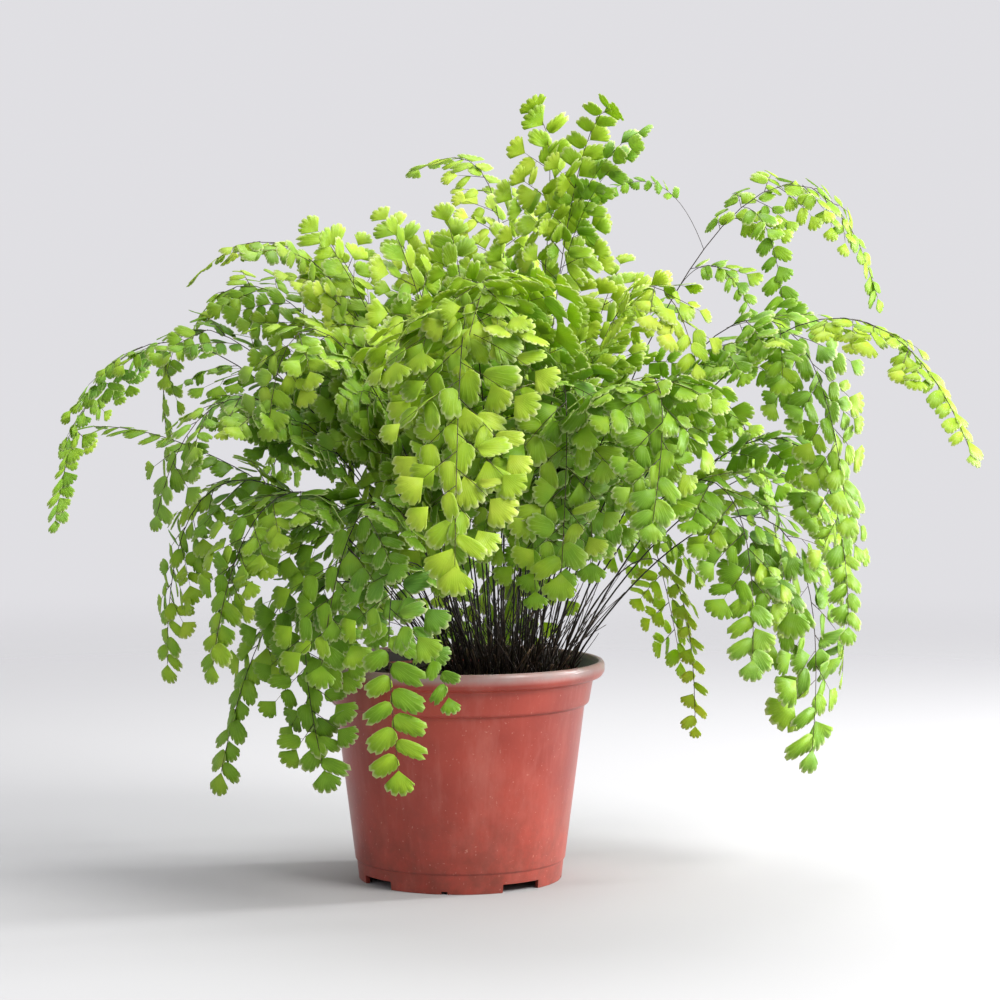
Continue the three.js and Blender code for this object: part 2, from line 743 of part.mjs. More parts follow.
// Shifts an arch sideways until its stem runs clear of the stems before it.
function settleStem(frond, settled) {
  const [x, y, z] = frond.arch;
  for (let step = 0; step < STEM_SHIFTS; step += 1) {
    const shift = (step % 2 ? 1 : -1) * ceil(step / 2) * STEM_SHIFT;
    frond.arch = [x - shift * frond.heading.y, y + shift * frond.heading.x, z];
    frond.curve = stemCurve(frond);
    Object.assign(frond, stemRoots(frond));
    frond.stretches = stemStretches(frond);
    const clear = settled.every((other) =>
      other.stretches.every((theirs) =>
        frond.stretches.every((ours) => stretchDistance(ours, theirs) >= STEM_CLEARANCE),
      ),
    );
    if (clear) return;
  }
  throw new Error("frond " + frond.number + " finds no clear way");
}

function makeFronds() {
  const fronds = [...MEASURED, ...ringFronds()].map((row, i) => ({
    ...row,
    number: i + 1,
    base: crownFoot(row),
    size: varied(FROND_SIZE, i + 1, 0),
  }));
  spreadFeet(fronds);
  const settled = [];
  for (const frond of fronds) {
    const x = frond.tip[0] - frond.base[0];
    const y = frond.tip[1] - frond.base[1];
    const far = hypot(x, y);
    frond.heading = { x: x / far, y: y / far };
    settleStem(frond, settled);
    settled.push(frond);
  }
  return fronds;
}

function piece(name, geometry, { color, roughness }) {
  const material = new THREE.MeshStandardMaterial({ color, roughness, metalness: 0, flatShading: true });
  const mesh = new THREE.Mesh(geometry, material);
  mesh.name = name;
  return mesh;
}

function frondFinish(number) {
  const hue = varied(FROND_HUE, number, 80);
  const color = new THREE.Color().setHSL(hue, FROND_SATURATION, varied(FROND_LIGHTNESS, number, 80));
  return { color, roughness: FROND_ROUGHNESS };
}

const plant = new THREE.Group();
const fronds = makeFronds();
const pot = makePot();
const soil = makeSoil(fronds);
const space = new Space();
space.add(pot, null);
space.add(soil, null);
for (const frond of fronds) space.add(bareStem(frond), frond.number);
for (const frond of fronds) settleEndLeaflet(frond, space);
for (const frond of fronds) settleSprouts(frond, space);

plant.add(piece("pot", geometryOf(pot), POT_FINISH));
plant.add(piece("soil", geometryOf(soil), SOIL_FINISH));
for (const frond of fronds) {
  const name = "frond_" + String(frond.number).padStart(2, "0");
  plant.add(piece(name, makeFrond(frond), frondFinish(frond.number)));
}

export default plant;
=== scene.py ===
"""Looks of a potted maidenhair fern. Lengths in the tables are millimetres, angles are degrees and the
scene is in metres. +Z is up and the front faces -Y. Each frond follows the line of its CAD frond, with
finer branches and leaflets. The pot and the soil follow the CAD solids' profiles."""
import math
from itertools import product
from math import cos, hypot, pi, radians, sin

import bpy
import numpy as np
from mathutils import Matrix, Vector, noise


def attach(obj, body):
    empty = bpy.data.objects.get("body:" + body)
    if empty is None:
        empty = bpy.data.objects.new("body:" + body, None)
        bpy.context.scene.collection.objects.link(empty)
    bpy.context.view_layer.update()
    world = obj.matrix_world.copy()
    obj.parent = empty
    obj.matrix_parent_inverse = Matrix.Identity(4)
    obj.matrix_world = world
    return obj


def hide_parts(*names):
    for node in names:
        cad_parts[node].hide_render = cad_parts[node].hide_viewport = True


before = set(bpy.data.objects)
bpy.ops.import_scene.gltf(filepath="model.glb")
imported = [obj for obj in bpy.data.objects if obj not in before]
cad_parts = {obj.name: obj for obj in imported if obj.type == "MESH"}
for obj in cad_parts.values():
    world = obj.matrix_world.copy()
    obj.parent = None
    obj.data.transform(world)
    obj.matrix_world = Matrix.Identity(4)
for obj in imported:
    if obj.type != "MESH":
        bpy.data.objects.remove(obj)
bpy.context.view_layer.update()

MM = 0.001
UP = Vector((0, 0, 1))

# Pot
POT_HEIGHT = 106
LIP_RADIUS = 70
COLLAR_BOTTOM = 85.2
COLLAR_TOP = 97
BODY_TOP_RADIUS = 60.4
BODY_FOOT_RADIUS = 51
FOOT_RADIUS = 49.2
WALL = 1.4
FLOOR_UNDERSIDE = 4.5
FLOOR_TOP = 6.2
FOOT_RING_WALL = 1.9
NOTCH = {"turn": 37, "width": 21, "height": 4.1}
NICK = {"turn": -8, "width": 3, "height": 1.4}
FOOT_CUTS = 4
FOOT_CUT_DEPTH = 12
DRAIN_RADIUS = 4.5
DRAIN_CIRCLE = 37
POT_SIDES = 144

# Soil
SOIL_GAP = 0.15
SOIL_EDGE_HEIGHT = 97.6
SOIL_EDGE_RADIUS = 63.2
SOIL_CROWN = 2.6
SOIL_SIDES = 120
SOIL_RINGS = 70
SOIL_STEP = 0.9

# Stems, as the CAD fronds have them
STEM_TOP_OF_FOOT = 103
STEM_FOOT = 20
STEM_CLEARANCE = 2.5
STEM_SHIFT = 3
STEM_SHIFTS = 25
STEM_RISE = Vector((0.3, 0.3, 0.7))
STEM_LOW_SHARES = [0, 0.13, 0.27]
ARCH_SHARE = 0.6
CROWN = {"x": 22, "y": 5, "radius": 33, "nearest": 0.18, "lean": 0.75, "spacing": 7.4, "passes": 60}
LEAF_START = 0.42
LEAFLET = 19
LEAFLET_BASE = 2.6
BRANCH_ROOM = 1.2
PAIR_ROOM = 0.65
ROOT_PLAY = 0.15

PAIR = "pair"
LONG = [2, 2, 1, 1, PAIR, PAIR]
TRAILING = [1, 1, 1, PAIR, PAIR, PAIR]
MIDDLE = [2, 1, 1, PAIR, PAIR]
LEAN = [1, 1, 1, PAIR]
SHORT = [1, 1, PAIR]
NARROW = [1, PAIR, PAIR, PAIR, PAIR]

# Fronds measured on the plant: the point three fifths along, the tip, what the CAD frond bears, and
# the look: how yellow the green is, the reach of its branches in millimetres, the leaflets' size and
# how much the frond turns to the light in front.
# How yellow the green is was set frond by frond to match where light and shade fall on the plant, so it
# is partly painted light and shade.
MEASURED = [
    ((141, 30, 328), (211, 60, 275), TRAILING, 0.46, 36, 0.76, 1.2),
    ((155, -60, 266), (224, -150, 205), TRAILING, 0.58, 26, 0.72, 0.1),
    ((132, -40, 269), (178, -80, 171), MIDDLE, 0.42, 50, 0.86, 0.6),
    ((147, 6, 174), (171, 10, 48), MIDDLE, 0.35, 40, 1.14, 1.5),
    ((160, 60, 194), (196, 90, 81), MIDDLE, 0.46, 26, 0.84, 0.8),
    ((98, 40, 151), (119, 70, 58), LEAN, 0.70, 10, 0.60, -0.8),
    ((146, -30, 214), (182, -50, 118), MIDDLE, 0.36, 34, 0.88, 0.8),
    ((112, -70, 196), (132, -104, 108), LEAN, 0.42, 42, 0.98, 0.8),
    ((43, 10, 321), (32, -10, 372), MIDDLE, 0.55, 50, 1.02, 0.6),
    ((55, 0, 332), (75, -30, 365), MIDDLE, 0.52, 25, 0.94, -1.3),
    ((18, 70, 325), (-29, 120, 346), LONG, 0.62, 26, 0.80, 0.3),
    ((-65, 20, 292), (-134, 30, 287), MIDDLE, 0.60, 56, 0.80, 0.1),
    ((-142, 90, 259), (-223, 166, 157), TRAILING, 0.40, 32, 0.76, 0.1),
    ((-119, 60, 199), (-199, 110, 215), LEAN, 0.46, 12, 0.84, 0.2),
    ((-106, 0, 193), (-143, 10, 94), LEAN, 0.45, 34, 0.76, 1.1),
    ((-71, -20, 146), (-114, -40, 47), MIDDLE, 0.44, 20, 0.96, 0.5),
    ((-62, -52, 146), (-60, -64, 52), SHORT, 0.29, 32, 1.00, 1.5),
    ((-85, 40, 171), (-129, 60, 88), LEAN, 0.33, 26, 0.80, 0.1),
    ((-90, -30, 231), (-142, -52, 171), LEAN, 0.48, 46, 0.80, 0.4),
    ((-74, -56, 190), (-112, -88, 104), LEAN, 0.42, 30, 0.86, 0.3),
    ((-36, -64, 186), (-62, -100, 104), SHORT, 0.31, 56, 1.04, 0.8),
    ((-25, -90, 158), (-25, -105, 57), NARROW, 0.42, 20, 1.14, 1),
    ((6, -90, 273), (0, -168, 152), LONG, 0.58, 62, 1.28, 0),
    ((46, -90, 242), (46, -110, 146), MIDDLE, 0.42, 62, 1.00, 0),
    ((82, -100, 242), (84, -140, 171), MIDDLE, 0.38, 60, 0.98, 0),
    ((-112, 20, 261), (-145, 30, 211), LEAN, 0.34, 56, 0.80, 0.6),
    ((-80, 40, 275), (-137, 60, 262), LEAN, 0.44, 56, 0.82, 0.6),
    ((-58, -30, 260), (-88, -60, 214), LEAN, 0.46, 58, 0.88, 0.8),
    ((-41, 10, 267), (-65, -10, 310), LEAN, 0.48, 62, 1.00, 1.5),
    ((-17, -10, 272), (-34, -20, 317), LEAN, 0.54, 62, 1.00, 1.5),
    ((1, 30, 267), (-10, 40, 314), LEAN, 0.50, 60, 0.98, 1.5),
    ((66, 20, 265), (81, 40, 300), LEAN, 0.56, 52, 0.96, 0.6),
]

# Rings of fronds between the measured ones: count, degrees that they start at and span, reach,
# heights of the arch and the tip, what they bear and how yellow their green is. RING_LOOK is the rest
# of their look, in the order above.
RINGS = [
    (3, 200, 270, 122, 268, 232, LEAN, 0.50),
    (4, 5, 160, 160, 226, 150, MIDDLE, 0.42),
    (3, 25, 130, 128, 182, 84, LEAN, 0.48),
]
RING_LOOK = (56, 0.87, 0.4)

# Young fronds inside the plant, darker and shorter, and some that stand up to its top. All are LEAN.
# The darker green of the young fronds inside is painted shade of the plant's inside.
YOUNG = [
    ((-20, -30, 196), (-38, -44, 136), 0.44, 40, 0.84, 0.8),
    ((2, -42, 202), (-8, -62, 142), 0.34, 42, 0.88, 0.8),
    ((30, -44, 200), (36, -64, 136), 0.32, 46, 0.88, 0.8),
    ((42, -40, 206), (50, -60, 146), 0.28, 42, 0.86, 0.8),
    ((54, -38, 204), (62, -56, 148), 0.32, 46, 0.88, 0.8),
    ((74, -20, 210), (94, -36, 168), 0.34, 40, 0.84, 0.8),
    ((-34, 0, 215), (-58, -8, 170), 0.46, 40, 0.84, 0.8),
    ((46, -20, 236), (52, -44, 184), 0.32, 44, 0.88, 0.8),
    ((10, -20, 236), (4, -44, 188), 0.30, 44, 0.88, 0.8),
    ((70, 10, 228), (98, 14, 186), 0.34, 40, 0.84, 0.8),
    ((20, 40, 230), (18, 66, 186), 0.34, 42, 0.86, 0.4),
    ((-14, 30, 225), (-38, 50, 176), 0.34, 42, 0.86, 0.4),
    ((-50, 36, 286), (-78, 48, 312), 0.50, 44, 0.90, 1.5),
    ((-22, 34, 290), (-42, 50, 318), 0.52, 46, 0.90, 1.5),
    ((0, 24, 290), (-12, 30, 320), 0.50, 44, 0.90, 1.5),
]

# Long side branches of some fronds: the share of the stem that each leaves it at, the point it bends
# to, its tip, its bare share and the size of its leaflets.
SPRAYS = {
    1: [
        (0.60, (101, 16, 353), (68, 10, 330), 0.40, 0.46),
        (0.68, (152, 12, 324), (156, 4, 277), 0.10, 0.74),
        (0.53, (122, 8, 313), (140, 4, 276), 0.40, 0.52),
    ],
    10: [
        (0.74, (70, -6, 352), (84, -18, 358), 0.15, 0.84),
        (0.64, (62, -4, 338), (78, -14, 346), 0.20, 0.84),
    ],
    22: [
        (0.62, (-12, -98, 130), (-4, -104, 101), 0.12, 0.80),
    ],
}

# By a frond's number: how much further apart its leaflets stand, and how much of its leafy part is bare
SPARSE = {6: 1.9}
BARE = {10: 0.40}

# Old stems: how far they lean at random, their least and greatest length, radius, how faded they are
# and how far inside the soil's edge they stand. The kinds take turns, and those past the edge drop out.
OLD_STEM_TRIES = 320
OLD_STEM_SEED = 500
OLD_STEMS = [
    (0.45, 24, 64, 0.34, 0.0, 4),
    (1.00, 16, 46, 0.28, 0.2, 13),
    (0.50, 6, 22, 0.62, 0.35, 4),
    (0.70, 30, 70, 0.24, 0.1, 9),
]

# Fine branches and leaflets, on a frond of size 1. A branch shorter than SHORTEST_BRANCH is a leaflet
# instead, and one longer than SHORTEST_FORKED has branches in place of the leaflets in FORKS.
REACH_AT_TIP = 8
TAPER = 1.15
PITCH_LOW = 10.4
PITCH_AT_TIP = 6.0
LEAF_PITCH = 5.3
LEAF_LENGTH = 12.6
FAN_LENGTH = 10.6
LEAF_HALF = 0.12
HALF_WAY = 0.55
TOOTH = ((0.0, 1.0), (0.26, 0.0), (0.76, 0.05))
RIB_SAG = 0.0034
TRAILING_SAG = 3.2
TRAILING_LOW = 0.3
TRAILING_PITCH = 3.0
USUAL_REACH = 46
ROOM_AT_ROOT = 3.5
ROOM_AT_TIP = 4
SHORTEST_BRANCH = 13
SHORTEST_FORKED = 34
FORKS = (1, 2, 4)
STEM_RADIUS = 0.5
STEM_TAPER = 0.32
STEM_STEPS = 26
SPRAY_STEPS = 14
SPRAY_FACE = Vector((0, -0.7, 0.7))
FROND_SEEDS = 101
TIP_SEED = 97
BRANCH_SEEDS = 31


def scatter(number, use):
    """Repeatable scatter between -1 and 1, the rule that the CAD source has."""
    wave = sin(number * 127.1 + use * 311.7) * 43758.5453
    return 2 * (wave - math.floor(wave)) - 1


class Frame:
    """A place, the direction ahead, the side to the right and the upward normal."""

    def __init__(self, at, ahead, hint):
        self.at = at
        self.ahead = ahead.normalized()
        self.side = self.ahead.cross(hint).normalized()
        self.normal = self.side.cross(self.ahead)

    def turned(self, left, dip=0.0, roll=0.0):
        """Turned left in its plane, then dipped below it, then rolled, in degrees."""
        left, dip, roll = radians(left), radians(dip), radians(roll)
        level = self.ahead * cos(left) - self.side * sin(left)
        flat = Frame(self.at, level * cos(dip) - self.normal * sin(dip), self.normal)
        return Frame(self.at, flat.ahead, flat.normal * cos(roll) + flat.side * sin(roll))

    def drooped(self, share):
        """Bent down by its weight, and moved nowhere."""
        return Frame(self.at, self.ahead - UP * share, self.normal)


class StemCurve:
    """A cubic Bezier curve read by share of its length."""

    DIVISIONS = 200

    def __init__(self, corners):
        self.corners = corners
        self.steps = np.linspace(0, 1, self.DIVISIONS + 1)
        points = [self.by_step(step) for step in self.steps]
        lengths = [(b - a).length for a, b in zip(points, points[1:])]
        self.lengths = np.concatenate([[0.0], np.cumsum(lengths)])
        self.length = float(self.lengths[-1])

    def by_step(self, t):
        a, b, c, d = self.corners
        rest = 1 - t
        return a * rest**3 + b * (3 * rest**2 * t) + c * (3 * rest * t**2) + d * t**3

    def at(self, share):
        return self.by_step(float(np.interp(share * self.length, self.lengths, self.steps)))

    def ahead(self, share, near=1e-4):
        low, high = max(0.0, share - near), min(1.0, share + near)
        return (self.at(high) - self.at(low)).normalized()


class Frond:
    """A frond from a row of the tables, by the rules of the CAD source."""

    def __init__(self, number, arch, tip, branches, *look):
        self.number = number
        self.arch = Vector(arch)
        self.tip = Vector(tip)
        self.branches = branches
        self.tone, self.reach, self.leaf, self.lit = look
        self.size = 1 + 0.1 * scatter(number, 0)
        self.neat = branches is NARROW
        self.base = self.crown_foot()

    def crown_foot(self):
        """The flatter a frond leans, the further out in the crown it stands."""
        x, y = self.arch.x - CROWN["x"], self.arch.y - CROWN["y"]
        far = hypot(x, y)
        lean = far / (self.arch.z - STEM_TOP_OF_FOOT)
        out = CROWN["radius"] * min(1, CROWN["nearest"] + CROWN["lean"] * lean) / far
        return [CROWN["x"] + out * x, CROWN["y"] + out * y]

    def shape(self):
        """The stem's curve through the arch, and where its branches root in the CAD frond."""
        foot = Vector((*self.base, STEM_TOP_OF_FOOT))
        first = foot + Vector(r * d for r, d in zip(STEM_RISE, self.arch - foot))
        rest = 1 - ARCH_SHARE
        second = self.arch - foot * rest**3 - first * (3 * rest**2 * ARCH_SHARE)
        second = (second - self.tip * ARCH_SHARE**3) / (3 * rest * ARCH_SHARE**2)
        self.curve = StemCurve([foot, first, second, self.tip])
        self.end = 1 - LEAFLET * self.size / self.curve.length
        rooms = [PAIR_ROOM if bears == PAIR else BRANCH_ROOM for bears in self.branches]
        room = (self.end - LEAF_START) / sum(rooms)
        at = LEAF_START
        shares = list(STEM_LOW_SHARES)
        for i, wide in enumerate(rooms):
            start = at + room * ROOT_PLAY * (1 + scatter(self.number, 40 + i))
            shares += [start, start + LEAFLET_BASE / self.curve.length]
            at += room * wide
        points = [Vector((*self.base, STEM_TOP_OF_FOOT - STEM_FOOT))]
        points += [self.curve.at(share) for share in [*shares, self.end]]
        self.stretches = list(zip(points, points[1:]))

    def frame(self, share):
        """The stem's frame. Towards the tip it turns to the light in front."""
        ahead = self.curve.ahead(share)
        side = Vector((self.heading.y, -self.heading.x, 0))
        lit = self.lit * share * self.heading.x
        return Frame(self.curve.at(share), ahead, side.cross(ahead) + side * lit)


def ring_rows():
    """The rings' fronds as rows like those measured."""
    rows = []
    for count, start, span, reach, arch, tip, branches, tone in RINGS:
        for i in range(count):
            seed = 100 + len(rows)
            turn = radians(start + span * (i + 0.5 + 0.22 * scatter(seed, 1)) / count)
            far = reach * (1 + 0.08 * scatter(seed, 2))
            lift = 12 * scatter(seed, 3)
            ends = [
                (CROWN["x"] + far * share * cos(turn), CROWN["y"] + far * share * sin(turn), z + lift)
                for share, z in ((0.62, arch), (1, tip))
            ]
            rows.append((*ends, branches, tone + 0.1 * scatter(seed, 4), *RING_LOOK))
    return rows


def spread_feet(fronds):
    """Moves feet apart that stand too close."""
    for _ in range(CROWN["passes"]):
        for i, one in enumerate(fronds):
            for other in fronds[i + 1 :]:
                a, b = one.base, other.base
                x, y = b[0] - a[0], b[1] - a[1]
                apart = hypot(x, y)
                if apart >= CROWN["spacing"]:
                    continue
                push = (CROWN["spacing"] - apart) / apart / 2
                a[0] -= x * push
                a[1] -= y * push
                b[0] += x * push
                b[1] += y * push


def stretch_distance(one, other):
    """Shortest distance between two straight stretches, each a pair of points."""
    (a, b), (c, d) = one, other
    u, v, w = b - a, d - c, a - c
    uu, uv, vv, uw, vw = u.dot(u), u.dot(v), v.dot(v), u.dot(w), v.dot(w)
    determinant = uu * vv - uv * uv
    s = min(1, max(0, (uv * vw - vv * uw) / determinant)) if determinant > 1e-9 else 0
    t = min(1, max(0, (uv * s + vw) / vv))
    s = min(1, max(0, (uv * t - uw) / uu))
    return (w + u * s - v * t).length


def settle_stem(frond, settled):
    """Shifts an arch sideways until its stem runs clear of the stems before it."""
    x, y, z = frond.arch
    for step in range(STEM_SHIFTS):
        shift = (1 if step % 2 else -1) * math.ceil(step / 2) * STEM_SHIFT
        frond.arch = Vector((x - shift * frond.heading.y, y + shift * frond.heading.x, z))
        frond.shape()
        clear = all(
            stretch_distance(ours, theirs) >= STEM_CLEARANCE
            for other in settled
            for theirs in other.stretches
            for ours in frond.stretches
        )
        if clear:
            return


def make_fronds():
    """The fronds of the CAD model, in its order."""
    rows = [*MEASURED, *ring_rows()]
    fronds = [Frond(number, *row) for number, row in enumerate(rows, 1)]
    spread_feet(fronds)
    settled = []
    for frond in fronds:
        run = frond.tip.xy - Vector(frond.base)
        frond.heading = run.normalized()
        settle_stem(frond, settled)
        settled.append(frond)
    return fronds


def oblong(middle, long, wide, square):
    """A rim round a lopsided oblong with round corners, open at the leaflet's base: its middle, half
    its length, half its width and how square it is."""
    base = math.atan2(-middle[0], -middle[1])
    gap = radians(16)

    def point(share):
        turn = base + gap + (2 * pi - 2 * gap) * share
        reach = (abs(sin(turn) / wide) ** square + abs(cos(turn) / long) ** square) ** (-1 / square)
        return middle[0] + reach * sin(turn), middle[1] + reach * cos(turn)

    return point


def sector(low, high, fall):
    """A rim round a fan that opens from low to high degrees, with its two corners rounded off."""

    def point(share):
        turn = radians(low + (high - low) * share)
        reach = 1 - fall * abs(2 * share - 1) ** 4
        return reach * sin(turn), reach * cos(turn)

    return point


def blade(outline, teeth, depth, smooth):
    """A leaflet seen from above, as two rows of points (across, ahead, share out, share round), one
    half way out and one on its rim, which has blunt teeth beyond its smooth first share."""
    steps = [(smooth * k / teeth, 0.0) for k in range(teeth)]
    for k in range(teeth):
        steps += [(smooth + (1 - smooth) * (k + at) / teeth, notch) for at, notch in TOOTH]
    steps.append((1.0, 0.0))
    rim, inner = [], []
    for j, (share, notch) in enumerate(steps):
        across, ahead = outline(share)
        inset = 1 - depth * notch * (1 + 0.5 * scatter(j, teeth))
        rim.append((across * inset, ahead * inset, 1.0, share))
        if j % 2 == 0:
            inner.append((across * HALF_WAY, ahead * HALF_WAY, HALF_WAY, share))
    return [inner, rim]


class Template:
    """One leaflet as a closed sheet: points with their face, above or below, and its polygons."""

    def __init__(self, rows, mirrored=False):
        inner, rim = rows
        flat = [(0.0, 0.0, 0.0, 0.5), *inner, *rim]
        count = len(flat)
        self.points = np.array(flat + flat)
        self.sign = np.array([1.0] * count + [-1.0] * count)
        start = 1 + len(inner)
        top = []
        for j in range(len(inner) - 1):
            a, b = 1 + j, 2 + j
            c = start + 2 * j
            top += [(0, b, a), (a, c + 1, c), (a, b, c + 1), (b, c + 2, c + 1)]
        edge = [0, 1, *range(start, start + len(rim)), len(inner)]
        self.faces = top + [tuple(i + count for i in reversed(face)) for face in top]
        self.smooth = [True] * len(self.faces)
        for a, b in zip(edge, edge[1:] + edge[:1]):
            self.faces.append((a, b, b + count, a + count))
            self.smooth.append(False)
        if mirrored:
            self.points[:, 0] *= -1
            self.faces = [tuple(reversed(face)) for face in self.faces]


# Side leaflets, lopsided towards the branch's tip, and fans for its end
SIDE_BLADES = [
    blade(oblong((0.16, 0.52), 0.54, 0.31, 3.6), 6, 0.11, 0.32),
    blade(oblong((0.18, 0.50), 0.53, 0.34, 3.0), 6, 0.12, 0.28),
    blade(oblong((0.12, 0.54), 0.54, 0.28, 3.4), 5, 0.13, 0.34),
    blade(sector(-14, 78, 0.20), 5, 0.13, 0.10),
]
OBLONGS = 3
FAN_BLADES = [
    blade(sector(-54, 54, 0.20), 5, 0.16, 0.05),
    blade(sector(-44, 50, 0.22), 4, 0.19, 0.06),
]
TEMPLATES = [Template(rows, mirrored) for rows in SIDE_BLADES for mirrored in (False, True)]
TEMPLATES += [Template(rows) for rows in FAN_BLADES]
FIRST_FAN = 2 * len(SIDE_BLADES)


def linked(name, data):
    made = bpy.data.objects.new(name, data)
    bpy.context.scene.collection.objects.link(made)
    return made


def new_mesh(name, points, faces):
    mesh = bpy.data.meshes.new(name)
    mesh.from_pydata(points, [], faces)
    return mesh


def grown_piece(name, points, faces, smooth, values):
    """A piece that is smooth where told, with one number a point under each key of values."""
    mesh = new_mesh(name, points, faces)
    mesh.polygons.foreach_set("use_smooth", smooth)
    for key, numbers in values.items():
        layer = mesh.attributes.new(key, "FLOAT", "POINT")
        layer.data.foreach_set("value", np.array(numbers, np.float32))
    return linked(name, mesh)


class Leaves:
    """Leaflets gathered for a piece."""

    def __init__(self):
        self.rows = [[] for _ in TEMPLATES]

    def add(self, kind, at, length, width, tone, seed):
        bend = 0.14 + 0.16 * scatter(seed, 1)
        wave = 0.05 * scatter(seed, 2)
        values = (length, width, bend, wave, pi * scatter(seed, 3), tone)
        self.rows[kind].append((*at.at, *at.side, *at.ahead, *at.normal, *values))

    def build(self, name):
        vertices, faces, smooth = [], [], []
        values = {"tone": [], "out": [], "round": []}
        start = 0
        for template, rows in zip(TEMPLATES, self.rows):
            if not rows:
                continue
            data = np.array(rows)
            at, side, ahead, normal = (data[:, k : k + 3][:, None, :] for k in (0, 3, 6, 9))
            length, width, bend, wave, phase, tone = (data[:, k][:, None] for k in range(12, 18))
            across, along, out, turn = (template.points[:, k][None, :] for k in range(4))
            x = across * width
            y = along * length
            z = -bend * length * (across**2 * 0.9 + along**2 * 0.5)
            z = z + wave * length * out * np.sin(9 * turn + phase) + LEAF_HALF * template.sign
            points = at + side * x[..., None] + ahead * y[..., None] + normal * z[..., None]
            vertices.append(points.reshape(-1, 3) * MM)
            size = len(template.points)
            for i in range(len(rows)):
                base = start + i * size
                faces += [tuple(base + k for k in face) for face in template.faces]
            smooth += template.smooth * len(rows)
            values["tone"].append(np.repeat(tone[:, 0], size))
            values["out"].append(np.tile(out[0], len(rows)))
            values["round"].append(np.tile(turn[0], len(rows)))
            start += size * len(rows)
        values = {key: np.concatenate(parts) for key, parts in values.items()}
        return grown_piece(name, np.concatenate(vertices), faces, smooth, values)


class Stalks:
    """Round closed tubes gathered for a piece."""

    def __init__(self):
        self.vertices, self.faces, self.smooth, self.ages = [], [], [], []

    def add(self, points, radii, ages, sides):
        start = len(self.vertices)
        rings = len(points) - 1
        across = (points[1] - points[0]).normalized().orthogonal().normalized()
        for i, point in enumerate(points):
            ahead = (points[min(rings, i + 1)] - points[max(0, i - 1)]).normalized()
            across = (across - ahead * across.dot(ahead)).normalized()
            other = ahead.cross(across)
            for k in range(sides):
                turn = 2 * pi * k / sides
                self.vertices.append((point + (across * cos(turn) + other * sin(turn)) * radii[i]) * MM)
                self.ages.append(ages[i])
        for i in range(rings):
            for k in range(sides):
                a, b = (start + i * sides + n for n in (k, (k + 1) % sides))
                self.faces.append((a, b, b + sides, a + sides))
        self.smooth += [True] * (sides * rings)
        self.faces.append(tuple(start + k for k in reversed(range(sides))))
        self.faces.append(tuple(start + rings * sides + k for k in range(sides)))
        self.smooth += [False, False]

    def add_even(self, points, thick, taper, young, sides):
        """A tube that thins by a share and ages by 0.4, both evenly along its points."""
        steps = len(points) - 1
        radii = [thick * (1 - taper * k / steps) for k in range(steps + 1)]
        ages = [young + 0.4 * k / steps for k in range(steps + 1)]
        self.add(points, radii, ages, sides)

    def build(self, name):
        return grown_piece(name, self.vertices, self.faces, self.smooth, {"age": self.ages})


def rib_frame(start, distance, sag):
    """The frame at a distance along a rib that sags."""
    at = start.at + start.ahead * distance - UP * (sag * distance * distance)
    return Frame(at, start.ahead - UP * (2 * sag * distance), start.normal)


def add_leaflet(leaves, stalks, start, size, tone, seed, way, neat=False):
    """A leaflet on a stalk as thin as a hair. Way is 1 on the rib's left, -1 on its right and 0 at
    its end, where the leaflet is a fan. Neat side leaflets are all oblong."""
    stalk = (1.1 + 0.5 * scatter(seed, 5)) * size
    end = Frame(start.at + start.ahead * stalk, start.ahead, start.normal)
    stalks.add([start.at, end.at + start.ahead * 1.2], [0.12, 0.08], [0.8, 1.0], 3)
    length = (LEAF_LENGTH if way else FAN_LENGTH) * size * (1 + 0.13 * scatter(seed, 7))
    if way:
        kind = 2 * (seed % (OBLONGS if neat else len(SIDE_BLADES))) + (way < 0)
    else:
        kind = FIRST_FAN + seed % len(FAN_BLADES)
    leaves.add(kind, end, length, length * (1 + 0.1 * scatter(seed, 8)), tone, seed)


def add_branch(leaves, stalks, start, length, frond, tone, seed, low):
    """A rib with leaflets in two even ranks, and near its root ribs of their own where it is long."""
    sag = RIB_SAG * (1.3 + 0.6 * scatter(seed, 11))
    if frond.branches is TRAILING:
        sag *= TRAILING_SAG
    size = frond.size * frond.leaf * (1 + 0.05 * scatter(seed, 12))
    at = ROOM_AT_ROOT * size
    i = 0
    while at < length - ROOM_AT_TIP * size:
        share = at / length
        way = 1 if (i + seed) % 2 else -1
        middle = rib_frame(start, at, sag)
        leaf_seed = seed * BRANCH_SEEDS + i * 7 + 1
        own = tone + 0.08 * scatter(leaf_seed, 13) + 0.10 * share
        spread = 76 - 16 * share + 7 * scatter(leaf_seed, 14)
        loose = 0.35 if frond.neat else 1.0
        roll = 26 * loose * scatter(leaf_seed, 16)
        out = middle.turned(way * spread, 4 + 9 * scatter(leaf_seed, 15), roll)
        out = out.drooped(0.24 * loose * (1 + scatter(leaf_seed, 18)))
        if low and length > SHORTEST_FORKED and i in FORKS:
            out = middle.turned(way * (spread - 22), 6, 0)
            small = 0.46 * length * (1 - share)
            add_branch(leaves, stalks, out, small, frond, tone, leaf_seed, False)
            at += 1.5 * LEAF_PITCH * size
        else:
            leaf_size = size * (1 - 0.22 * share)
            add_leaflet(leaves, stalks, out, leaf_size, own, leaf_seed, way, frond.neat)
            at += LEAF_PITCH * size * (1 - 0.2 * share)
        i += 1
    end = rib_frame(start, length, sag)
    tip = end.turned(6 * scatter(seed, 17), 5, 0)
    add_leaflet(leaves, stalks, tip, size, tone + 0.14, seed * BRANCH_SEEDS, 0)
    steps = max(2, round(length / 9))
    points = [rib_frame(start, length * k / steps, sag).at for k in range(steps + 1)]
    stalks.add_even(points, 0.23 if low else 0.16, 0.45, 0.45, 4)


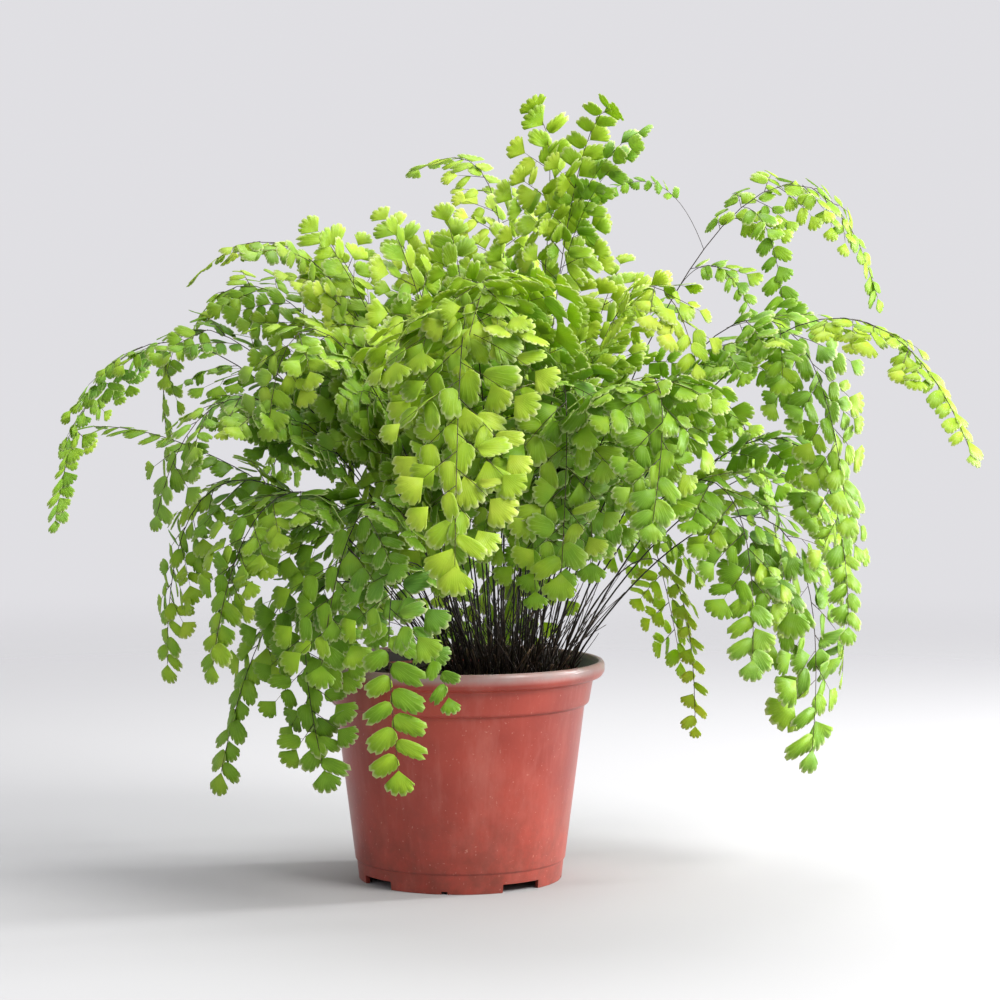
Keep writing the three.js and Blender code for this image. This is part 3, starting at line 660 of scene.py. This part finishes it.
def add_spray(leaves, stalks, frond, spray):
    """A long thin side branch that bows out from the stem, with leaflets along its outer part."""
    share, bend, tip, bare, size = spray
    start, bend, tip = frond.curve.at(share), Vector(bend), Vector(tip)
    curve = StemCurve([start, start.lerp(bend, 2 / 3), tip.lerp(bend, 2 / 3), tip])
    count = round(curve.length * (1 - bare) / (1.25 * LEAF_PITCH * size))
    first = round(share * 1000)
    for i in range(count):
        seed = first + i
        at = bare + (1 - bare) * i / count
        middle = Frame(curve.at(at), curve.ahead(at), SPRAY_FACE)
        way = 1 if i % 2 else -1
        out = middle.turned(way * 62, 8 * scatter(seed, 1), 34 * scatter(seed, 2)).drooped(0.2)
        add_leaflet(leaves, stalks, out, size, frond.tone + 0.12 * scatter(seed, 3), seed, way)
    end = Frame(tip, curve.ahead(1), SPRAY_FACE)
    add_leaflet(leaves, stalks, end, size, frond.tone, first + count, 0)
    points = [curve.at(k / SPRAY_STEPS) for k in range(SPRAY_STEPS + 1)]
    stalks.add_even(points, 0.2, 0.5, 0.3, 4)


def grow_frond(frond, leaves, stalks):
    """A frond's stem with its branches, and leaflets where these would be too short."""
    curve = frond.curve
    size = frond.size * frond.leaf
    reach = frond.reach * frond.size
    leafy_end = 1 - FAN_LENGTH * size / curve.length
    leafy = (leafy_end - LEAF_START) * curve.length
    at = BARE.get(frond.number, 0.0) * leafy
    i = 0
    while at < leafy - ROOM_AT_TIP * size:
        share = at / leafy
        seed = frond.number * FROND_SEEDS + i
        way = 1 if i % 2 else -1
        middle = frond.frame(LEAF_START + (leafy_end - LEAF_START) * share)
        swell = 0.7 + 0.3 * sin(min(1.0, share / 0.2) * pi / 2)
        length = (REACH_AT_TIP + (reach - REACH_AT_TIP) * (1 - share) ** TAPER) * swell
        length *= 1 + 0.14 * scatter(seed, 21)
        tone = frond.tone + 0.09 * scatter(seed, 25) + 0.17 * share
        if length > SHORTEST_BRANCH:
            angle = way * (62 - 16 * share + 7 * scatter(seed, 22))
            out = middle.turned(angle, 8 + 11 * scatter(seed, 23), 26 * scatter(seed, 24))
            add_branch(leaves, stalks, out, length, frond, tone, seed, True)
            pitch = PITCH_LOW + (PITCH_AT_TIP - PITCH_LOW) * share
            pitch *= 0.55 + 0.45 * reach / USUAL_REACH
            loose = frond.branches is TRAILING and share < TRAILING_LOW
            at += pitch * (TRAILING_PITCH if loose else 1.0)
        else:
            dip = 6 + 8 * scatter(seed, 23)
            out = middle.turned(way * (72 - 12 * share), dip, 9 * scatter(seed, 24))
            if not frond.neat:
                out = out.drooped(0.5 * (1 - share))
            add_leaflet(leaves, stalks, out, size, tone, seed, way, frond.neat)
            at += LEAF_PITCH * size * SPARSE.get(frond.number, 1.0)
        i += 1
    for spray in SPRAYS.get(frond.number, []):
        add_spray(leaves, stalks, frond, spray)
    end = frond.frame(leafy_end)
    seed = frond.number * FROND_SEEDS + TIP_SEED
    add_leaflet(leaves, stalks, end, size, frond.tone + 0.2, seed, 0)
    steps = range(STEM_STEPS + 1)
    points = [Vector((*frond.base, STEM_TOP_OF_FOOT - STEM_FOOT))]
    points += [curve.at(leafy_end * k / STEM_STEPS) for k in steps]
    radii = [STEM_RADIUS] + [STEM_RADIUS * STEM_TAPER ** (k / STEM_STEPS) for k in steps]
    ages = [0.0] + [0.75 * (k / STEM_STEPS) ** 1.5 for k in steps]
    stalks.add(points, radii, ages, 6)


def build_foliage(name, fronds):
    """The leaves and the stalks of some fronds, as two pieces."""
    leaves, stalks = Leaves(), Stalks()
    for frond in fronds:
        grow_frond(frond, leaves, stalks)
    pieces = [leaves.build(name + "_leaves"), stalks.build(name + "_stalks")]
    for piece, material in zip(pieces, (LEAF_MATERIAL, STALK_MATERIAL)):
        piece.data.materials.append(material)
        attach(piece, "root")
    return pieces


def build_fronds():
    fronds = make_fronds()
    for frond in fronds:
        node = "frond_" + str(frond.number).zfill(2)
        for piece in build_foliage(node, [frond]):
            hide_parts(node)
    numbered = enumerate(YOUNG, len(fronds) + 1)
    young = [Frond(number, arch, tip, LEAN, *look) for number, (arch, tip, *look) in numbered]
    for frond in young:
        frond.heading = (frond.tip.xy - Vector(frond.base)).normalized()
        frond.shape()
    build_foliage("young_fronds", young)


# Materials


class Shader:
    """Short calls for one material's nodes."""

    def __init__(self, name):
        self.material = bpy.data.materials.new(name)
        self.material.use_nodes = True
        self.tree = self.material.node_tree
        self.nodes = self.tree.nodes
        self.surface = self.nodes["Principled BSDF"]

    def node(self, kind, **values):
        made = self.nodes.new("ShaderNode" + kind)
        for key, value in values.items():
            setattr(made, key, value)
        return made

    def feed(self, value, socket):
        if isinstance(value, bpy.types.NodeSocket):
            self.tree.links.new(value, socket)
        else:
            socket.default_value = value

    def fill(self, node, **inputs):
        """The node, with values or links in the inputs named, with _ for a blank."""
        for key, value in inputs.items():
            self.feed(value, node.inputs[key.replace("_", " ")])
        return node

    def set(self, **inputs):
        self.fill(self.surface, **inputs)

    def result(self, node, *values):
        """The node's first output, with values or links in its first inputs."""
        for value, socket in zip(values, node.inputs):
            self.feed(value, socket)
        return node.outputs[0]

    def attribute(self, name):
        return self.node("Attribute", attribute_name=name).outputs["Fac"]

    def math(self, operation, *values):
        return self.result(self.node("Math", operation=operation), *values)

    def mapped(self, value, low, high, to_low=0.0, to_high=1.0, kind="LINEAR"):
        made = self.node("MapRange", interpolation_type=kind)
        return self.result(made, value, low, high, to_low, to_high)

    def mix(self, share, a, b, blend="MIX"):
        made = self.node("Mix", data_type="RGBA", blend_type=blend)
        for key, value in ((0, share), (6, a), (7, b)):
            self.feed(value, made.inputs[key])
        return made.outputs[2]

    def ramp(self, value, stops):
        """Colours by value: the first stop, the last, then those between."""
        made = self.node("ValToRGB")
        self.feed(value, made.inputs[0])
        points = made.color_ramp.elements
        for i, (place, colour) in enumerate(stops):
            point = points[i] if i < 2 else points.new(place)
            point.position = place
            point.color = (*colour, 1)
        return made.outputs[0]

    def place(self, scale=(1, 1, 1)):
        here = self.node("TexCoord").outputs["Object"]
        return self.fill(self.node("Mapping"), Vector=here, Scale=scale).outputs[0]

    def length(self, vector):
        made = self.node("VectorMath", operation="LENGTH")
        self.feed(vector, made.inputs[0])
        return made.outputs["Value"]

    def noise(self, vector, scale, detail=3.0, roughness=0.5):
        made = self.node("TexNoise")
        self.fill(made, Vector=vector, Scale=scale, Detail=detail, Roughness=roughness)
        return made.outputs["Fac"]

    def bump(self, height, strength, distance, **below):
        """Relief, on top of a Normal where one is given."""
        made = self.node("Bump")
        self.fill(made, Height=height, Strength=strength, Distance=distance, **below)
        return made.outputs[0]

    def show_both(self, share, other):
        """The material is its surface with a share of another one."""
        both = self.result(self.node("MixShader"), share, self.surface.outputs[0], other.outputs[0])
        self.feed(both, self.nodes["Material Output"].inputs["Surface"])


def leaf_material():
    """Thin green leaflets that let light through, veined from the base, with a pale rim."""
    s = Shader("leaflet")
    place = s.place()
    patches = s.mapped(s.noise(place, 90, 4), 0.3, 0.7, -0.09, 0.09)
    tone = s.math("ADD", s.attribute("tone"), patches)
    greens = [
        (0.0, (0.045, 0.135, 0.008)),
        (1.0, (0.59, 0.68, 0.075)),
        (0.28, (0.112, 0.262, 0.014)),
        (0.50, (0.210, 0.408, 0.022)),
        (0.74, (0.376, 0.548, 0.030)),
    ]
    green = s.ramp(tone, greens)
    cool = s.mapped(s.noise(place, 14, 2), 0.54, 0.68, 0.0, 0.4)
    green = s.mix(cool, green, (0.13, 0.34, 0.085, 1))
    out, around = s.attribute("out"), s.attribute("round")
    veins = s.mapped(s.math("SINE", s.math("MULTIPLY", around, 88.0)), 0.55, 1.0)
    veins = s.math("MULTIPLY", veins, s.mapped(out, 0.05, 0.5))
    green = s.mix(s.math("MULTIPLY", veins, 0.22), green, (0.42, 0.62, 0.10, 1))
    pale = s.mapped(out, 0.86, 0.98)
    pale = s.math("MULTIPLY", pale, s.mapped(s.noise(place, 28, 2), 0.38, 0.58, 0.15, 0.75))
    pale = s.math("MULTIPLY", pale, s.mapped(around, 0.2, 0.4, 0.4, 1.0))
    green = s.mix(pale, green, (0.74, 0.78, 0.42, 1))
    bump = s.bump(s.noise(place, 900, 3), 0.25, 0.0003)
    bump = s.bump(veins, 0.35, 0.00025, Normal=bump)
    s.set(Base_Color=green, Normal=bump, Roughness=0.46, IOR=1.42, Specular_IOR_Level=0.35)
    shine = s.mix(1.0, green, (1.0, 0.95, 0.55, 1), "MULTIPLY")
    shine = s.mix(0.35, shine, (0.60, 0.80, 0.10, 1))
    s.show_both(0.42, s.fill(s.node("BsdfTranslucent"), Color=shine, Normal=bump))
    return s.material


def stalk_material():
    """Black-brown wiry stalks, shiny, and greener towards their tips."""
    s = Shader("stalk")
    place = s.place((1, 1, 0.25))
    age = s.math("ADD", s.attribute("age"), s.mapped(s.noise(place, 160, 3), 0.3, 0.7, -0.08, 0.08))
    stops = [
        (0.0, (0.010, 0.006, 0.004)),
        (1.0, (0.16, 0.26, 0.03)),
        (0.45, (0.020, 0.010, 0.006)),
        (0.72, (0.055, 0.030, 0.010)),
        (0.88, (0.10, 0.12, 0.02)),
    ]
    bump = s.bump(s.noise(place, 1200, 3), 0.3, 0.0002)
    s.set(Base_Color=s.ramp(age, stops), Normal=bump, Roughness=0.36, Specular_IOR_Level=0.3)
    return s.material


def pot_material():
    """Moulded brick-red plastic, a little dusty and scuffed, with painted shade towards its foot and
    inside its lip, and a lip paled by wear with a painted sheen.
    """
    s = Shader("pot_plastic")
    place = s.place()
    height = s.fill(s.node("SeparateXYZ"), Vector=place).outputs["Z"]
    cloudy = s.noise(place, 22, 5, 0.6)
    streaks = s.noise(s.place((1, 1, 0.12)), 260, 3)
    red = s.mix(s.mapped(cloudy, 0.35, 0.65), (0.270, 0.035, 0.022, 1), (0.37, 0.055, 0.035, 1))
    red = s.mix(s.mapped(streaks, 0.55, 0.8, 0.0, 0.16), red, (0.50, 0.17, 0.13, 1))
    scuffs = s.noise(s.place((1, 1, 0.3)), 48, 5, 0.68)
    red = s.mix(s.mapped(scuffs, 0.50, 0.72, 0.0, 0.30), red, (0.52, 0.19, 0.15, 1))
    # Darker towards the foot: painted shade, in patches of grime.
    foot_shade_and_grime = s.mapped(height, 0.060, 0.004)
    foot_shade_and_grime = s.math("MULTIPLY", foot_shade_and_grime, s.mapped(s.noise(place, 110, 6, 0.7), 0.34, 0.62, 0.15, 0.7))
    red = s.mix(foot_shade_and_grime, red, (0.130, 0.032, 0.020, 1))
    grains = s.mapped(s.noise(place, 700, 2), 0.68, 0.75, 0.0, 0.30)
    red = s.mix(grains, red, (0.66, 0.36, 0.28, 1))
    # Paler grey-pink top of the lip: wear, with a painted sheen of light on it.
    lip_wear_and_sheen = s.mapped(height, 0.1000, 0.1032)
    lip_wear_and_sheen = s.math("MULTIPLY", lip_wear_and_sheen, s.mapped(s.noise(place, 60, 4, 0.65), 0.3, 0.62, 0.6, 1.0))
    red = s.mix(lip_wear_and_sheen, red, (0.31, 0.225, 0.212, 1))
    # Painted shade: the inner wall of the lip above the soil, near black.
    inside = s.mapped(s.length(s.place((1, 1, 0))), 0.0672, 0.0662)
    inside = s.math("MULTIPLY", inside, s.mapped(height, 0.0984, 0.0990))
    red = s.mix(inside, red, (0.022, 0.012, 0.009, 1))
    rough = s.mapped(cloudy, 0.3, 0.7, 0.28, 0.40)
    bump = s.bump(s.noise(place, 420, 4), 0.12, 0.0004)
    bump = s.bump(streaks, 0.08, 0.0004, Normal=bump)
    s.set(Base_Color=red, Normal=bump, Roughness=rough, Specular_IOR_Level=0.4)
    return s.material


def soil_material(name, dark, pale):
    """Damp potting mix or bark, crumbly and dull."""
    s = Shader(name)
    place = s.place()
    crumbs = s.noise(place, 260, 6, 0.65)
    colour = s.mix(s.mapped(crumbs, 0.4, 0.72), (*dark, 1), (*pale, 1))
    s.set(Base_Color=colour, Normal=s.bump(s.noise(place, 700, 5, 0.7), 0.8, 0.0012), Roughness=0.86)
    return s.material


LEAF_MATERIAL = leaf_material()
STALK_MATERIAL = stalk_material()


# Pot


def rounded(corners, steps=4):
    """An outline of (radius, height, rounding) as points, with an arc at each rounded corner."""
    points = []
    for i, (x, y, rounding) in enumerate(corners):
        here = Vector((x, y))
        if not rounding:
            points.append((x, y))
            continue
        before = (Vector(corners[i - 1][:2]) - here).normalized()
        after = (Vector(corners[i + 1][:2]) - here).normalized()
        for k in range(steps + 1):
            t = k / steps
            bend = before * ((1 - t) ** 2) + after * t**2
            points.append(tuple(here + bend * rounding))
    return points


def lathe(name, points, sides):
    """A closed solid turned round the vertical axis. The outline starts and ends on the axis."""
    inner = points[1:-1]
    vertices = [(0, 0, points[0][1] * MM), (0, 0, points[-1][1] * MM)]
    for radius, height in inner:
        for k in range(sides):
            turn = 2 * pi * k / sides
            vertices.append((radius * sin(turn) * MM, -radius * cos(turn) * MM, height * MM))
    faces = []
    for k in range(sides):
        n = (k + 1) % sides
        faces.append((0, 2 + n, 2 + k))
        for i in range(len(inner) - 1):
            low, high = 2 + i * sides, 2 + (i + 1) * sides
            faces.append((low + k, low + n, high + n, high + k))
        top = 2 + (len(inner) - 1) * sides
        faces.append((1, top + k, top + n))
    return linked(name, new_mesh(name, vertices, faces))


def pot_inside():
    """The pot's inside from its lip down to its floor, as radius, height and rounding."""
    return [
        (LIP_RADIUS - 3.4, POT_HEIGHT - 2, 0.4),
        (BODY_TOP_RADIUS + 2.7, COLLAR_TOP - 0.5, 0.5),
        (BODY_TOP_RADIUS + 0.7, COLLAR_BOTTOM + 1.3, 0.4),
        (BODY_TOP_RADIUS - WALL, COLLAR_BOTTOM - 1, 0.4),
        (BODY_FOOT_RADIUS - WALL - 0.9, FLOOR_TOP, 0.6),
    ]


def cut(piece, cutters):
    """Cuts the cutters' shapes out of a piece and removes them."""
    for cutter in cutters:
        boolean = piece.modifiers.new("cut", "BOOLEAN")
        boolean.object = cutter
        boolean.operation = "DIFFERENCE"
        boolean.solver = "EXACT"
    graph = bpy.context.evaluated_depsgraph_get()
    mesh = bpy.data.meshes.new_from_object(piece.evaluated_get(graph))
    piece.modifiers.clear()
    piece.data = mesh
    for cutter in cutters:
        bpy.data.objects.remove(cutter)


def foot_cutters(turn, width, height):
    for i in range(FOOT_CUTS):
        x, y, z = width / 2 * MM, FOOT_CUT_DEPTH / 2 * MM, height * MM
        signs = product((-1, 1), repeat=3)
        corners = [(a * x, b * y - FOOT_RADIUS * MM, c * z) for a, b, c in signs]
        quads = [(0, 1, 3, 2), (4, 6, 7, 5), (0, 4, 5, 1), (2, 3, 7, 6), (0, 2, 6, 4), (1, 5, 7, 3)]
        mesh = new_mesh("cutter", corners, quads)
        mesh.transform(Matrix.Rotation(radians(turn + 90 * i), 4, "Z"))
        yield linked("cutter", mesh)


def drain_cutters():
    for i in range(FOOT_CUTS):
        hole = lathe("cutter", [(0, 1), (DRAIN_RADIUS, 1), (DRAIN_RADIUS, 9), (0, 9)], 32)
        hole.data.transform(Matrix.Translation((0, -DRAIN_CIRCLE * MM, 0)))
        hole.data.transform(Matrix.Rotation(radians(NOTCH["turn"] + 90 * i), 4, "Z"))
        yield hole


def build_pot():
    outside = [
        (0, FLOOR_UNDERSIDE, 0),
        (FOOT_RADIUS - FOOT_RING_WALL, FLOOR_UNDERSIDE, 0.4),
        (FOOT_RADIUS - FOOT_RING_WALL, 0, 0.3),
        (FOOT_RADIUS, 0, 0.3),
        (FOOT_RADIUS + 1.1, 9.2, 0.35),
        (BODY_FOOT_RADIUS, 10, 0.35),
        (BODY_TOP_RADIUS, COLLAR_BOTTOM - 0.6, 0.3),
        (BODY_TOP_RADIUS + 1.5, COLLAR_BOTTOM, 0.4),
        (BODY_TOP_RADIUS + 2.2, COLLAR_BOTTOM + 0.9, 0.4),
        (BODY_TOP_RADIUS + 4.1, COLLAR_TOP, 0.4),
        (LIP_RADIUS - 1.5, COLLAR_TOP + 1.4, 0.7),
        (LIP_RADIUS, COLLAR_TOP + 3.6, 0.9),
        (LIP_RADIUS, POT_HEIGHT - 1.8, 0.7),
        (LIP_RADIUS - 0.7, POT_HEIGHT - 0.5, 0.4),
        (LIP_RADIUS - 1.8, POT_HEIGHT, 0.5),
        (LIP_RADIUS - 2.9, POT_HEIGHT - 0.5, 0.4),
    ]
    points = rounded([*outside, *pot_inside(), (0, FLOOR_TOP, 0)])
    pot = lathe("pot_shell", points, POT_SIDES)
    cut(pot, [*foot_cutters(**NOTCH), *foot_cutters(**NICK), *drain_cutters()])
    pot.data.shade_smooth()
    pot.data.set_sharp_from_angle(angle=radians(32))
    pot.data.materials.append(pot_material())
    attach(pot, "root")
    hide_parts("pot")


# Soil


def soil_height(x, y):
    """Height of the soil's top in millimetres: a low crown with clods and crumbs on it."""
    far = hypot(x, y) / SOIL_EDGE_RADIUS
    crown = SOIL_EDGE_HEIGHT + SOIL_CROWN * (1 - far * far)
    fade = max(0.0, 1 - far**6)
    clods = 1.0 * noise.noise((x * 0.08, y * 0.08, 0.4)) + 1.4 * noise.noise((x * 0.22, y * 0.22, 3.1))
    crumbs = 1.1 * noise.turbulence((x * 0.5, y * 0.5, 7.7), 3, False)
    return crown + fade * (clods + crumbs - 0.6)


def build_soil():
    wall = [(radius - SOIL_GAP, height) for radius, height, _ in reversed(pot_inside()[1:])]
    wall[0] = (wall[0][0], FLOOR_TOP + SOIL_GAP)
    top = [(SOIL_EDGE_RADIUS - SOIL_STEP * k, SOIL_EDGE_HEIGHT) for k in range(1, SOIL_RINGS)]
    points = [(0, wall[0][1]), *wall, (SOIL_EDGE_RADIUS, SOIL_EDGE_HEIGHT), *top, (0, SOIL_EDGE_HEIGHT)]
    soil = lathe("soil_body", points, SOIL_SIDES)
    for vertex in soil.data.vertices:
        if vertex.co.z > (SOIL_EDGE_HEIGHT - 0.05) * MM:
            vertex.co.z = soil_height(vertex.co.x / MM, vertex.co.y / MM) * MM
    soil.data.shade_smooth()
    soil.data.materials.append(soil_material("soil_mix", (0.012, 0.008, 0.006), (0.065, 0.038, 0.022)))
    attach(soil, "root")
    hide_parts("soil")


def ball(detail):
    """Vertices and faces of a round ball of eight faces, each split detail times."""
    corners = [Vector(v) for v in ((1, 0, 0), (0, 1, 0), (-1, 0, 0), (0, -1, 0), (0, 0, 1), (0, 0, -1))]
    faces = [(0, 1, 4), (1, 2, 4), (2, 3, 4), (3, 0, 4), (1, 0, 5), (2, 1, 5), (3, 2, 5), (0, 3, 5)]
    for _ in range(detail):
        middles, split = {}, []

        def middle(a, b):
            key = (min(a, b), max(a, b))
            if key not in middles:
                middles[key] = len(corners)
                corners.append(((corners[a] + corners[b]) / 2).normalized())
            return middles[key]

        for a, b, c in faces:
            ab, bc, ca = middle(a, b), middle(b, c), middle(c, a)
            split += [(a, ab, ca), (ab, b, bc), (ca, bc, c), (ab, bc, ca)]
        faces = split
    return corners, faces


def build_crumbs(name, material, count, small, large, seed):
    """Loose crumbs and bark chips half sunk in the soil's top."""
    corners, faces = ball(1)
    vertices, polygons = [], []
    for i in range(count):
        own = seed + i
        turn = pi * scatter(own, 1)
        far = (SOIL_EDGE_RADIUS - 3) * math.sqrt(0.5 + 0.5 * scatter(own, 2))
        x, y = far * cos(turn), far * sin(turn)
        size = small + (large - small) * (0.5 + 0.5 * scatter(own, 3)) ** 2
        long = 1 + 0.7 * (1 + scatter(own, 4))
        spin = Matrix.Rotation(pi * scatter(own, 5), 3, "Z")
        tip = Matrix.Rotation(0.6 * scatter(own, 6), 3, "X")
        start = len(vertices)
        for corner in corners:
            lump = 1 + 0.28 * noise.noise(corner * 1.7 + Vector((i * 3.7, 0, 0)))
            point = Vector((corner.x * long, corner.y, corner.z * 0.7)) * (size * lump)
            point = spin @ (tip @ point) + Vector((x, y, soil_height(x, y) + 0.15 * size))
            vertices.append(point * MM)
        polygons += [tuple(start + k for k in face) for face in faces]
    mesh = new_mesh(name, vertices, polygons)
    mesh.shade_smooth()
    mesh.materials.append(material)
    piece = linked(name, mesh)
    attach(piece, "root")


def build_stubs():
    """Old stems: some still stand bare, some lean across the others and many are broken short."""
    stubs = Stalks()
    steps = 6
    for i in range(OLD_STEM_TRIES):
        seed = OLD_STEM_SEED + i
        wild, low, high, thick, pale, edge = OLD_STEMS[i % len(OLD_STEMS)]
        turn = pi * scatter(seed, 1)
        far = CROWN["radius"] * 0.95 * math.sqrt(0.5 + 0.5 * scatter(seed, 2))
        x, y = CROWN["x"] + far * cos(turn), CROWN["y"] + far * sin(turn) * 0.9
        if hypot(x, y) > SOIL_EDGE_RADIUS - edge:
            continue
        foot = Vector((x, y, soil_height(x, y) - 1.5))
        lean = Vector((x - CROWN["x"], y - CROWN["y"], 0)) / 60 + UP
        lean = (lean + Vector((scatter(seed, 3), scatter(seed, 5), 0)) * wild).normalized()
        tall = low + (high - low) * (0.5 + 0.5 * scatter(seed, 4))
        bow = Vector((scatter(seed, 6), scatter(seed, 7), 0)) * 0.005
        runs = [tall * k / steps for k in range(steps + 1)]
        points = [foot + lean * run + bow * run * run for run in runs]
        stubs.add_even(points, thick, 0.4, pale, 5)
    piece = stubs.build("old_stems")
    piece.data.materials.append(stub_material())
    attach(piece, "root")


def stub_material():
    """Dead stems, dark and patchy, and brown where faded."""
    s = Shader("old_stem")
    place = s.place((1, 1, 0.3))
    age = s.math("ADD", s.attribute("age"), s.mapped(s.noise(place, 220, 4), 0.3, 0.7, -0.25, 0.25))
    stops = [(0.1, (0.014, 0.008, 0.005)), (1.0, (0.20, 0.12, 0.06)), (0.6, (0.045, 0.024, 0.012))]
    bump = s.bump(s.noise(place, 900, 4), 0.6, 0.0005)
    s.set(Base_Color=s.ramp(age, stops), Normal=bump, Roughness=0.6)
    return s.material


# Stage, in metres

FLOOR_RADIUS = 4
FLOOR_SIDES = 96
FLOOR_FADES = (0.3, 1.7)
CAMERA_AT = (0.0193, -1.352, 0.253)
CAMERA_DOWN = 2.96
CAMERA_LENS = 100.8


def build_stage():
    """A grey floor that fades into the light further out."""
    turns = [2 * pi * k / FLOOR_SIDES for k in range(FLOOR_SIDES)]
    ring = [(FLOOR_RADIUS * cos(turn), FLOOR_RADIUS * sin(turn), 0) for turn in turns]
    mesh = new_mesh("floor", ring, [tuple(range(FLOOR_SIDES))])
    floor = linked("floor", mesh)
    s = Shader("floor_paint")
    s.set(Base_Color=(0.35, 0.35, 0.355, 1), Roughness=0.75)
    faded = s.mapped(s.length(s.place()), *FLOOR_FADES, kind="SMOOTHSTEP")
    s.show_both(faded, s.node("BsdfTransparent"))
    mesh.materials.append(s.material)
    world = bpy.data.worlds.new("studio")
    world.use_nodes = True
    sky = world.node_tree.nodes["Background"]
    sky.inputs["Color"].default_value = (0.877, 0.870, 0.905, 1)
    sky.inputs["Strength"].default_value = 0.85
    bpy.context.scene.world = world


def add_light(name, at, aim, size, power, colour=(1, 1, 1)):
    """A soft lamp, in metres and watts."""
    lamp = bpy.data.lights.new(name, "AREA")
    lamp.shape = "ELLIPSE"
    lamp.size, lamp.size_y = size
    lamp.energy = power
    lamp.color = colour
    light = linked(name, lamp)
    light.location = at
    light.rotation_euler = (Vector(aim) - Vector(at)).to_track_quat("-Z", "Y").to_euler()


def add_camera():
    camera = bpy.data.cameras.new("camera")
    camera.lens = CAMERA_LENS
    camera.sensor_width = 36
    eye = linked("camera", camera)
    eye.location = CAMERA_AT
    eye.rotation_euler = (radians(90 - CAMERA_DOWN), 0, 0)
    bpy.context.scene.camera = eye


add_camera()
build_stage()
add_light("key", (1.15, -0.8, 1.25), (0, 0, 0.2), (0.9, 0.9), 42, (1.0, 0.985, 0.96))
add_light("fill", (-1.1, -1.0, 0.7), (0, 0, 0.2), (1.2, 1.2), 1.5, (0.93, 0.96, 1.0))
add_light("top", (0.1, 0.5, 1.5), (0, 0, 0.2), (1.0, 1.0), 20)
add_light("side", (1.2, 0.3, 0.42), (0, 0, 0.15), (0.16, 0.8), 28)
bpy.context.scene.view_settings.view_transform = "Standard"

build_pot()
build_soil()
crumb = soil_material("bark_crumbs", (0.020, 0.012, 0.008), (0.11, 0.062, 0.034))
build_crumbs("bark_crumbs", crumb, count=420, small=0.6, large=1.9, seed=700)
build_stubs()
build_fronds()
